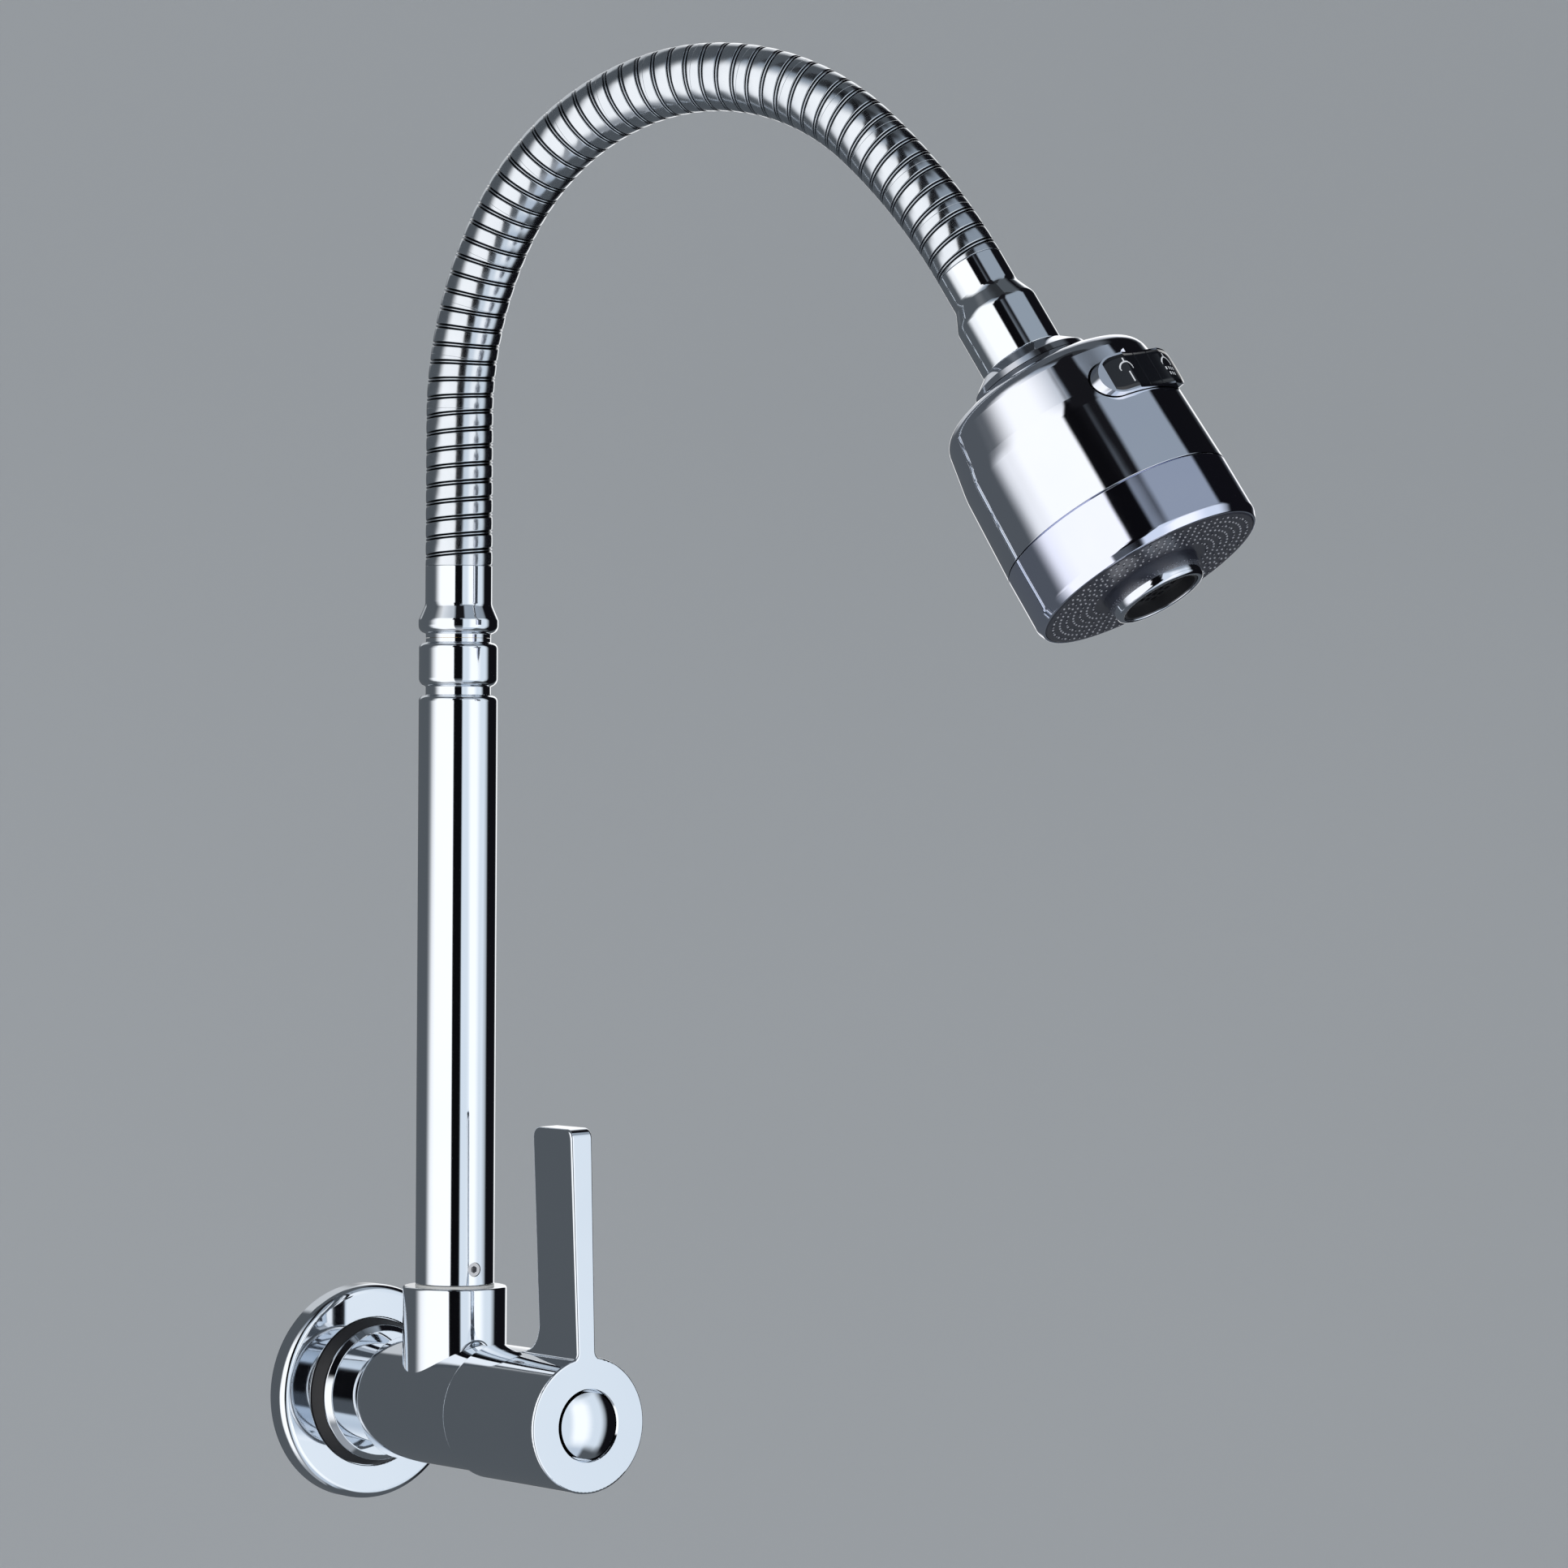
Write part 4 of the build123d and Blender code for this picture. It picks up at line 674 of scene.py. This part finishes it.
@dataclass
class HeadFrame:
    """Axes of the head: along it, out to its rocker, and sideways along the rocker."""

    line: NeckLine
    rocker_turn: float = 14.5

    def __post_init__(self) -> None:
        """Works out the axes from the end of the neck's line."""
        points, ways = self.line.at(np.array([self.line.length]))
        self.origin = points[0]
        self.way = ways[0]
        out = np.cross(self.way, self.line.hinge)
        turn = math.radians(90 + self.rocker_turn)
        self.rocker = self.line.hinge * math.cos(turn) + out * math.sin(turn)
        self.side = np.cross(self.way, self.rocker)

    def to_row(self, local: np.ndarray) -> np.ndarray:
        """Points given as (to the side, out to the rocker, along the head) in the frame's axes."""
        return self.origin + local @ np.stack([self.side, self.rocker, self.way])


@dataclass
class NozzleField:
    """Nozzles in rings on the spray face, pale as a painted highlight of the glints at their holes."""

    head: HeadFrame
    palette: Palette
    face: float = 98.7
    first: float = 17.0
    gap: float = 2.0
    rings: int = 7
    step: float = 4.8
    radius: float = 0.30
    rise: float = 0.26
    sunk: float = 0.6
    sides: int = 8

    def centres(self) -> np.ndarray:
        """Places of the nozzles: even rings have two for each CAD nozzle, odd ones lie between."""
        places = []
        for ring in range(self.rings):
            radius = self.first + ring * self.gap
            count = 2 * round(2 * np.pi * radius / self.step)
            angle = (np.arange(count) + 0.5 * (ring % 2)) * 2 * np.pi / count
            places.append(np.stack([radius * np.sin(angle), radius * np.cos(angle)], axis=1))
        return np.concatenate(places)

    def build(self) -> None:
        """Makes all nozzles as one mesh of small domed cones, and dresses it.

        A nozzle's surface has four rings of points, whose radius and height shares run
        from the sunk foot to the tip, and points in the middle of its top and its foot.
        """
        shares = np.array([[1.0, -self.sunk], [1.0, 0.35], [0.82, 0.85], [0.35, 1.0]])
        angle = full_turn(self.sides)
        ring = np.stack([np.cos(angle), np.sin(angle)], axis=1)
        wall = shares[:, :1, None] * ring[None] * self.radius
        height = np.broadcast_to(shares[:, 1, None, None] * self.rise, (len(shares), self.sides, 1))
        rings = np.concatenate([wall, height], axis=2).reshape(-1, 3)
        shape = np.vstack([rings, [[0.0, 0.0, self.rise]], [[0.0, 0.0, -self.sunk * self.rise]]])
        top = len(rings)
        j = np.arange(self.sides)
        after = (j + 1) % self.sides
        last = (len(shares) - 1) * self.sides
        quads = sheet_faces(len(shares), self.sides, False, True)
        walls = np.concatenate([quads[:, [0, 1, 2]], quads[:, [0, 2, 3]]])
        tops = np.stack([last + j, last + after, np.full_like(j, top)], axis=1)
        feet = np.stack([after, j, np.full_like(j, top + 1)], axis=1)
        faces = np.concatenate([walls, tops, feet])
        places = self.centres()
        base = np.column_stack([places, np.full(len(places), self.face)])
        points = (base[:, None, :] + shape[None]).reshape(-1, 3)
        offsets = (np.arange(len(places)) * len(shape))[:, None, None]
        every = (faces[None] + offsets).reshape(-1, 3)
        piece = make_piece("spray_nozzles", self.head.to_row(points), every)
        # Pale colour: painted highlight for the nozzles' glints.
        self.palette.outfit(piece, NOZZLE_GLINT_PAINT, "face_plastic", "head")
        log.info("spray nozzles: %d", len(places))


@dataclass
class InletThread:
    """Inlet nipple with its pipe thread, in place of the plain one."""

    palette: Palette
    crest: float = 10.47
    pitch: float = 1.814
    depth: float = 1.05
    bore: float = 7.2
    tip: float = 20.0
    chamfer: float = 0.8
    shoulder: float = -0.5
    back: float = -17.9
    shank: float = 10.37
    first_ridge: float = 1.0
    last_gap: float = 0.6
    fade: float = 1.2
    steps: int = 230
    hexagon: float = 13.0
    hexagon_back: float = -3.0
    rim_share: float = 1.04
    rim_inset: float = 0.35
    around: int = 96

    def radius(self, height: np.ndarray, angle: np.ndarray) -> np.ndarray:
        """Thread's outside: a right-handed spiral of round-topped ridges that fades at both ends."""
        turns = height / self.pitch + angle / (2 * np.pi)
        wave = 0.5 + 0.5 * np.cos(2 * np.pi * turns)
        ridge = np.clip(1.6 * wave - 0.3, 0.0, 1.0)
        start = np.clip((height - self.first_ridge) / self.fade, 0.0, 1.0)
        end = np.clip((self.tip - self.last_gap - height) / self.fade, 0.0, 1.0)
        chamfer = np.clip(self.tip - height, 0.0, self.chamfer)
        return self.crest - self.chamfer + chamfer - self.depth * (1 - ridge) * end * start

    @staticmethod
    def turned(radius: np.ndarray, height: np.ndarray, angle: np.ndarray) -> np.ndarray:
        """Points round the inlet's axis: radius times cos and less sin of the angle, at each height."""
        along = np.broadcast_to(height[:, None], radius.shape)
        points = np.stack([radius * np.cos(angle), along, -radius * np.sin(angle)], axis=-1)
        return points.reshape(-1, 3)

    def build(self) -> None:
        """Makes the nipple as one closed turned surface and its hexagon, and dresses it."""
        angle = full_turn(self.around)[None, :]
        rows = [(np.array([self.back, self.shoulder]), np.full((2, self.around), self.shank))]
        threaded = np.linspace(self.shoulder, self.tip, self.steps)
        rows.append((threaded, self.radius(threaded[:, None], angle)))
        rows.append((np.array([self.tip, self.back]), np.full((2, self.around), self.bore)))
        height = np.concatenate([row[0] for row in rows])
        radius = np.vstack([row[1] for row in rows])
        faces = sheet_faces(len(height), self.around, True, True)
        strip = np.repeat(np.arange(len(height)), self.around)
        flat = (strip == 1) | (strip >= len(height) - 3)
        piece = make_piece("inlet_thread", self.turned(radius, height, angle), faces, flat)
        self.palette.outfit(piece, BRASS, "brass", "fixed", "inlet_nipple")
        self.build_hexagon()
        log.info("inlet thread and hexagon made")

    def build_hexagon(self) -> None:
        """Makes the hexagon as a closed ring whose outside is a six-sided outline.

        The outline's radius at an angle is the flat's distance over the cosine of the
        angle from the nearest flat's middle, and its rims are chamfered.
        """
        angle = full_turn(self.around)
        flat_distance = self.hexagon * math.cos(math.pi / 6)
        nearest = (angle + np.pi / 6) % (np.pi / 3) - np.pi / 6
        outline = flat_distance / np.cos(nearest)
        rim = np.minimum(outline, flat_distance * self.rim_share)
        inner = np.full_like(angle, self.shank)
        radius = np.stack([rim, outline, outline, rim, inner, inner])
        low, high = self.hexagon_back, self.shoulder
        height = np.array([low, low + self.rim_inset, high - self.rim_inset, high, high, low])
        points = self.turned(radius, height, angle)
        faces = sheet_faces(len(height), len(angle), True, True)
        piece = make_piece("inlet_hexagon", points, faces, np.ones(len(faces), bool))
        self.palette.outfit(piece, BRASS, "brass", "fixed")


@dataclass
class RockerMarks:
    """Dark glossy pads on the rocker with two pale generic marks: a plain stream and a shower."""

    head: HeadFrame
    palette: Palette
    place: float = 54.2
    pad: float = 10.4
    crest: float = 33.8
    scoop: float = 1.3
    scoop_radius: float = 68.0
    line: float = 0.42
    lift: float = 0.10
    half_width: float = 5.5
    half_length: float = 17.0
    margin: float = 0.55
    plate_lift: float = 0.05
    plate_sunk: float = 0.2
    plate_steps: int = 40
    plate_across: int = 9
    cap: tuple[float, float] = (2.3, 2.0)
    centre: float = -0.6
    stem: tuple[float, float] = (-2.0, -3.2)
    stream: tuple[float, float] = (0.9, 4.0)
    drop_start: float = 1.0
    drop_length: float = 0.9
    drop_gap: float = 1.25
    row_gap: float = 1.6

    def surface(self, side: np.ndarray) -> np.ndarray:
        """Height of the rocker's face over the head's axis at a distance to the side."""
        round_face = np.sqrt(np.maximum(self.crest**2 - side**2, 0.0))
        hollow = self.scoop_radius - np.sqrt(self.scoop_radius**2 - side**2)
        return np.minimum(round_face, self.crest - self.scoop + hollow)

    def stroke(self, name: str, course: np.ndarray, closed: bool) -> None:
        """Makes one raised line on the pad from a course of points.

        The line is a flat ribbon with a small thickness: at each point it is widened
        square to the course, and its height follows the rocker's face.

        Args:
            name: the piece's name.
            course: points as (to the side, along the head).
            closed: whether the line closes on itself.
        """
        ahead = np.roll(course, -1, axis=0) - np.roll(course, 1, axis=0)
        if not closed:
            ahead[0] = course[1] - course[0]
            ahead[-1] = course[-1] - course[-2]
        ahead /= np.linalg.norm(ahead, axis=1, keepdims=True)
        square = np.stack([-ahead[:, 1], ahead[:, 0]], axis=1) * self.line / 2
        corners = [(1, 1), (-1, 1), (-1, -1), (1, -1)]
        rails = []
        for across, level in corners:
            place = course + across * square
            height = self.surface(place[:, 0]) + level * self.lift
            rails.append(np.column_stack([place[:, 0], height, place[:, 1] + self.place]))
        points = np.stack(rails, axis=1)
        faces = sheet_faces(len(course), 4, closed, True)
        if not closed:
            last = (len(course) - 1) * 4
            faces = np.vstack([faces, [[3, 2, 1, 0]], [[last, last + 1, last + 2, last + 3]]])
        points = self.head.to_row(points.reshape(-1, 3))
        piece = make_piece(name, points, faces, np.ones(len(faces), bool))
        self.palette.outfit(piece, MARK_INK, "head_chrome", "rocker")

    def plate(self, name: str, low: float, high: float) -> None:
        """Makes one thin dark plate on the rocker's face between two distances to the side.

        At each distance s the plate reaches across to the margin inside the rocker's
        outline: its half width there, less the fall of its round end where s is beyond the
        end's centre. The plate's top and bottom follow the rocker's face.

        Args:
            name: the piece's name.
            low: distance to the side where the plate starts.
            high: distance where it ends.
        """
        half = self.plate_across
        around = 2 * half
        across = np.concatenate([np.linspace(1, -1, half), np.linspace(-1, 1, half)])
        level = np.repeat([self.plate_lift, -self.plate_sunk], half)
        ease = (1 - np.cos(np.linspace(0, np.pi, self.plate_steps))) / 2
        side = low + (high - low) * ease
        end = self.half_width - self.margin
        past = np.clip(np.abs(side) - (self.half_length - self.half_width), 0.0, end - 0.01)
        reach = np.sqrt(end**2 - past**2)
        points = np.stack(
            [
                np.broadcast_to(side[:, None], (len(side), around)),
                self.surface(side)[:, None] + level[None, :],
                self.place + across[None, :] * reach[:, None],
            ],
            axis=-1,
        )
        faces = sheet_faces(len(side), around, False, True)
        j = np.arange(half - 1)
        cap = np.stack([j, around - 1 - j, around - 2 - j, j + 1], axis=1)
        last = (len(side) - 1) * around
        faces = np.vstack([faces, cap, last + cap[:, ::-1]])
        piece = make_piece(name, self.head.to_row(points.reshape(-1, 3)), faces)
        self.palette.outfit(piece, PAD_GLOSS, "head_chrome", "rocker")

    def upright(self, name: str, foot: np.ndarray, ends: tuple[float, float]) -> None:
        """Makes one straight line along the head between two distances from its foot."""
        self.stroke(name, foot + np.array([[0.0, ends[0]], [0.0, ends[1]]]), False)

    def build(self) -> None:
        """Lays the plates and draws both marks: a spray cap with one stream or rows of drops."""
        self.plate("rocker_pad_shower", -16.4, -3.0)
        self.plate("rocker_valley", -2.6, 2.6)
        self.plate("rocker_pad_stream", 3.0, 14.6)
        arc = np.linspace(np.pi, 2 * np.pi, 13)
        for number, side in enumerate((-self.pad * 0.86, self.pad * 0.82)):
            middle = np.array([side, self.centre])
            cap = middle + np.stack([self.cap[0] * np.cos(arc), self.cap[1] * np.sin(arc)], axis=1)
            self.stroke("mark_cap_%d" % number, cap, True)
            self.upright("mark_neck_%d" % number, middle, self.stem)
            if number == 1:
                self.upright("mark_stream", middle, self.stream)
                continue
            for row, count in enumerate((4, 3)):
                for drop in range(count):
                    off = (drop - (count - 1) / 2) * self.drop_gap
                    foot = middle + np.array([off, self.drop_start + self.row_gap * row])
                    self.upright("mark_drop_%d_%d" % (row, drop), foot, (0.0, self.drop_length))
        log.info("rocker pads and marks made")


@dataclass
class AeratorRing:
    """Chrome ring round the aerator, whose wall narrows a little towards its rim."""

    head: HeadFrame
    palette: Palette
    foot: float = 13.95
    rim: float = 12.8
    bore: float = 11.0
    back: float = 93.0
    face: float = 98.4
    end: float = 104.9
    edge: float = 1.0
    lip: float = 0.3
    near: float = 0.25
    around: int = 128

    def build(self) -> None:
        """Makes the ring as one closed turned surface, and dresses it.

        The outline runs from the bore's back outwards to the foot, along the slanted wall,
        round the rim's quarter circle, over the flat rim and back down the bore. A point is
        the head's origin, plus radius times (cos angle along the side plus sin angle out to
        the rocker), plus the height along the head.
        """
        turn = np.linspace(0, np.pi / 2, 10)
        less_cos, less_sin = np.cos(turn) - 1, np.sin(turn) - 1
        corner = np.stack([self.rim + self.edge * less_cos, self.end + self.edge * less_sin], axis=1)
        inner = np.stack([self.bore - self.lip * less_sin, self.end + self.lip * less_cos], axis=1)
        slope = (self.rim - self.foot) / (self.end - self.edge - self.face)
        wall = [
            [self.bore, self.back],
            [self.rim, self.back],
            [self.rim, self.face],
            [self.foot, self.face],
            [self.rim - slope * self.near, self.end - self.edge - self.near],
        ]
        outline = np.vstack([wall, corner, inner, [[self.bore, self.end - self.lip - self.near]]])
        angle = full_turn(self.around)[None, :]
        radius, height = outline[:, :1], outline[:, 1:]
        along = np.broadcast_to(height, (len(outline), self.around))
        local = np.stack([radius * np.cos(angle), radius * np.sin(angle), along], axis=-1)
        faces = sheet_faces(len(outline), self.around, True, True)
        strip = np.repeat(np.arange(len(outline)), self.around)
        flat = (strip < 3) | (strip == len(wall) + len(corner) - 1)
        piece = make_piece("aerator_rim", self.head.to_row(local.reshape(-1, 3)), faces, flat)
        self.palette.outfit(piece, HEAD_CHROME, "head_chrome", "head", "aerator_ring")
        log.info("aerator ring made")


@dataclass(frozen=True)
class SoftBox:
    """Patch of the surroundings with one brightness and soft sides.

    Angles are degrees to the right of the camera's side, seen from above, and levels are
    degrees over the horizon.
    """

    first: float
    last: float
    low: float
    high: float
    colour: tuple[float, float, float]
    blur_left: float = 3.0
    blur_right: float = 3.0
    blur_level: float = 14.0

    def share(self, angle: np.ndarray, level: np.ndarray) -> np.ndarray:
        """How much of the patch shows in each direction.

        The distance to each of the four sides over that side's blur is held between zero
        and one, the four are multiplied, and the product x is eased as 3x² less 2x³.

        Args:
            angle: angles round the object.
            level: angles over the horizon, of the same shape.

        Returns:
            Shares from 0 to 1.
        """
        middle = (self.first + self.last) / 2
        half = (self.last - self.first) / 2
        off = (angle - middle + 180.0) % 360.0 - 180.0
        left = np.clip((off + half) / self.blur_left + 0.5, 0, 1)
        right = np.clip((half - off) / self.blur_right + 0.5, 0, 1)
        over = np.clip((level - self.low) / self.blur_level + 0.5, 0, 1)
        under = np.clip((self.high - level) / self.blur_level + 0.5, 0, 1)
        mask = left * right * over * under
        return mask * mask * (3 - 2 * mask)


@dataclass
class Surroundings:
    """Shell round the object that only its reflections see: soft boxes on a dark ground."""

    facing: float
    centre: tuple[float, float, float] = (0.05, -0.12, 0.2)
    distance: float = 3.4
    top: float = 89.5
    columns: int = 480
    rows: int = 150
    ground: tuple[float, float, float] = (0.098, 0.110, 0.122)
    boxes: tuple[SoftBox, ...] = (
        SoftBox(-90, 40, -100, -40, (0.36, 0.38, 0.41), 20, 20, 20),
        SoftBox(-60, 70, 60, 100, (0.035, 0.038, 0.042), 20, 20, 10),
        SoftBox(-60, 106, 36, 62, (0.34, 0.39, 0.45), 14, 14, 14),
        SoftBox(-182, -141, 12, 44, (0.62, 0.64, 0.66), 8, 5, 14),
        SoftBox(-200, -168, 24, 54, (0.62, 0.63, 0.65), 10, 10, 12),
        SoftBox(-86, -40, -38, 0, (1.0, 1.01, 1.03), 22, 6, 14),
        SoftBox(-74, -11, -60, 44, (1.25, 1.25, 1.25), 28, 3, 26),
        SoftBox(16, 62, -64, -26, (0.60, 0.68, 0.78), 8, 12, 14),
        SoftBox(15, 97, -38, 34, (0.82, 0.90, 0.98), 4, 20, 12),
        SoftBox(36, 67, -34, 28, (1.22, 1.24, 1.26), 14, 20, 18),
        SoftBox(103, 154, -40, 60, (0.006, 0.006, 0.008), 7, 12, 12),
        SoftBox(160, 186, -14, 40, (1.2, 1.2, 1.2), 8, 8, 10),
        SoftBox(-10, 13, -14, 24, (0.004, 0.004, 0.005), 3, 3, 8),
        SoftBox(-16, 7, 14, 48, (0.004, 0.004, 0.005), 4, 5, 8),
        SoftBox(-10, 24, 40, 78, (0.010, 0.010, 0.012), 6, 8, 8),
    )

    def build(self) -> None:
        """Makes the shell.

        A point is the centre plus distance times the direction of its angle and level, and
        its brightness is the ground's, covered by each box in turn by the box's share.
        """
        facing = math.radians(self.facing)
        towards = np.array([math.sin(facing), -math.cos(facing), 0.0])
        right = np.array([math.cos(facing), math.sin(facing), 0.0])
        columns = np.linspace(-180.0, 180.0, self.columns, endpoint=False)
        rows = np.linspace(-self.top, self.top, self.rows)
        angle, level = np.meshgrid(columns, rows, indexing="xy")
        turn, lift = np.radians(angle)[..., None], np.radians(level)[..., None]
        level_way = np.cos(turn) * towards + np.sin(turn) * right
        way = level_way * np.cos(lift) + np.sin(lift) * np.array([0.0, 0.0, 1.0])
        points = np.array(self.centre) + self.distance * way
        colour = np.broadcast_to(self.ground, (*angle.shape, 3))
        for box in self.boxes:
            share = box.share(angle, level)[..., None]
            colour = colour * (1 - share) + np.array(box.colour) * share
        faces = sheet_faces(self.rows, self.columns, False, True)
        shell = make_piece("surroundings", points.reshape(-1, 3) / MM, faces)
        solid = np.concatenate([colour, np.ones((*angle.shape, 1))], axis=-1)
        glow = shell.data.attributes.new("glow", "FLOAT_COLOR", "POINT")
        glow.data.foreach_set("color", solid.ravel())
        shell.data.materials.append(self._material())
        shell.visible_camera = False
        shell.visible_shadow = False
        shell.visible_diffuse = False

    @staticmethod
    def _material() -> bpy.types.Material:
        """Emission of the colour stored at each point."""
        material, graph = Graph.material("surroundings_glow")
        stored = graph.node("ShaderNodeAttribute", {"attribute_name": "glow"})
        graph.surface(
            {
                "Base Color": (0.0, 0.0, 0.0, 1.0),
                "Specular IOR Level": 0.0,
                "Roughness": 1.0,
                "Emission Color": stored.outputs["Color"],
                "Emission Strength": 1.0,
            }
        )
        material.cycles.emission_sampling = "NONE"
        return material


@dataclass
class Studio:
    """Camera, pale cove, surroundings and lamps."""

    azimuth: float = -37.83
    roll: float = 0.33
    place: tuple[float, float, float] = (-887.5, -1338.68, 173.78)
    focal_pixels: float = 6900.0
    image: float = 1932.0
    sensor: float = 36.0
    floor: float = -1350.0
    pale: tuple[float, float, float] = (0.60, 0.62, 0.64)
    darker: float = 0.96
    cove_radius: float = 2.0
    cove_start: float = 2.2
    cove_size: float = 9.0
    aim: tuple[float, float, float] = (0.05, -0.15, 0.2)

    def build_camera(self) -> None:
        """Level camera at the photograph's place, with its small roll."""
        camera = bpy.data.cameras.new("camera")
        camera.sensor_width = self.sensor
        camera.sensor_fit = "HORIZONTAL"
        camera.lens = self.sensor * self.focal_pixels / self.image
        camera.clip_end = 50.0
        turn = math.radians(self.azimuth)
        back = Vector((math.sin(turn), -math.cos(turn), 0.0))
        right = Vector((math.cos(turn), math.sin(turn), 0.0))
        up = back.cross(right)
        roll = math.radians(self.roll)
        rolled_right = right * math.cos(roll) + up * math.sin(roll)
        rolled_up = up * math.cos(roll) - right * math.sin(roll)
        axes = Matrix((rolled_right, rolled_up, back)).transposed().to_4x4()
        holder = bpy.data.objects.new("camera", camera)
        bpy.context.scene.collection.objects.link(holder)
        holder.matrix_world = Matrix.Translation(Vector(self.place) * MM) @ axes
        bpy.context.scene.camera = holder

    def build_cove(self) -> None:
        """Pale floor that curves up into a backdrop behind the wall plane.

        The sheet's profile is flat to the curve's start, then a quarter circle, then
        upright, and it is the same at every X. Its sizes are metres.
        """
        bend = np.linspace(0, np.pi / 2, 24)
        radius, start, size = self.cove_radius, self.cove_start, self.cove_size
        flat = np.array([[-size, 0.0], [start, 0.0]])
        curve = np.stack([start + radius * np.sin(bend), radius * (1 - np.cos(bend))], axis=1)
        wall = np.array([[start + radius, size]])
        profile = np.vstack([flat, curve[1:], wall])
        across = np.array([-size, size])
        points = np.stack(
            [
                np.broadcast_to(across[None, :], (len(profile), 2)),
                np.broadcast_to(profile[:, :1], (len(profile), 2)),
                np.broadcast_to(profile[:, 1:] + self.floor * MM, (len(profile), 2)),
            ],
            axis=-1,
        )
        faces = sheet_faces(len(profile), 2, False, False)[:, ::-1]
        cove = make_piece("floor_cove", points.reshape(-1, 3) / MM, faces)
        material, graph = Graph.material("pale_floor")
        darker = (*[c * self.darker for c in self.pale], 1.0)
        tone = graph.mix(graph.noise(900.0, 2.0), (*self.pale, 1.0), darker)
        graph.surface({"Base Color": tone, "Roughness": 0.9})
        cove.data.materials.append(material)
        cove.visible_glossy = False

    def build_world(self) -> None:
        """Even pale surroundings."""
        world = bpy.data.worlds.new("studio")
        bpy.context.scene.world = world
        world.use_nodes = True
        graph = Graph(world.node_tree)
        inputs = {"Color": (*self.pale, 1.0), "Strength": 0.9}
        light = graph.node("ShaderNodeBackground", None, inputs)
        graph.node("ShaderNodeOutputWorld", None, {"Surface": light.outputs[0]})

    def build_lamp(self, name: str, place: tuple[float, float, float], size: float, energy: float) -> None:
        """Soft square lamp aimed at the object, which its reflections don't show.

        Args:
            name: the lamp's name.
            place: where it hangs, in metres.
            size: length of its side in metres.
            energy: its power in watts.
        """
        lamp = bpy.data.lights.new(name, "AREA")
        lamp.shape = "SQUARE"
        lamp.size = size
        lamp.energy = energy
        holder = bpy.data.objects.new(name, lamp)
        bpy.context.scene.collection.objects.link(holder)
        holder.location = place
        towards = Vector(self.aim) - Vector(place)
        holder.rotation_euler = towards.to_track_quat("-Z", "Y").to_euler()
        holder.visible_glossy = False

    def build(self) -> None:
        """Sets the colour transform and builds everything round the object."""
        bpy.context.scene.view_settings.view_transform = "Standard"
        self.build_camera()
        self.build_cove()
        self.build_world()
        Surroundings(self.azimuth).build()
        self.build_lamp("overhead", (0.1, -0.5, 2.3), 1.4, 12.0)
        self.build_lamp("key", (-2.1, -1.9, 1.3), 1.6, 24.0)


@dataclass
class CadDress:
    """Finishes of the CAD nodes that stay as they are."""

    frame: dict
    palette: Palette
    own: dict[str, Finish] = field(default_factory=lambda: {"head_lower_shell": LOWER_CHROME})

    def build(self) -> None:
        """Gives each CAD node its own finish, or else that of its material slot."""
        slots = {part["node"]: part["material_slot"] for part in self.frame["record"]["subparts"]}
        for name, node in self.frame["nodes"].items():
            self.palette.dress(node, self.own.get(name, Dressing[slots[name]].value))
        log.info("CAD nodes dressed: %d", len(slots))


def main() -> None:
    """Builds the object and the studio."""
    logging.basicConfig(level=logging.INFO, format="%(name)s: %(message)s")
    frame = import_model()
    palette = Palette()
    line = NeckLine()
    head = HeadFrame(line)
    CadDress(frame, palette).build()
    RibbedNeck(line, palette).build()
    NozzleField(head, palette).build()
    InletThread(palette).build()
    AeratorRing(head, palette).build()
    RockerMarks(head, palette).build()
    Studio().build()


if __name__ == "__main__":
    main()
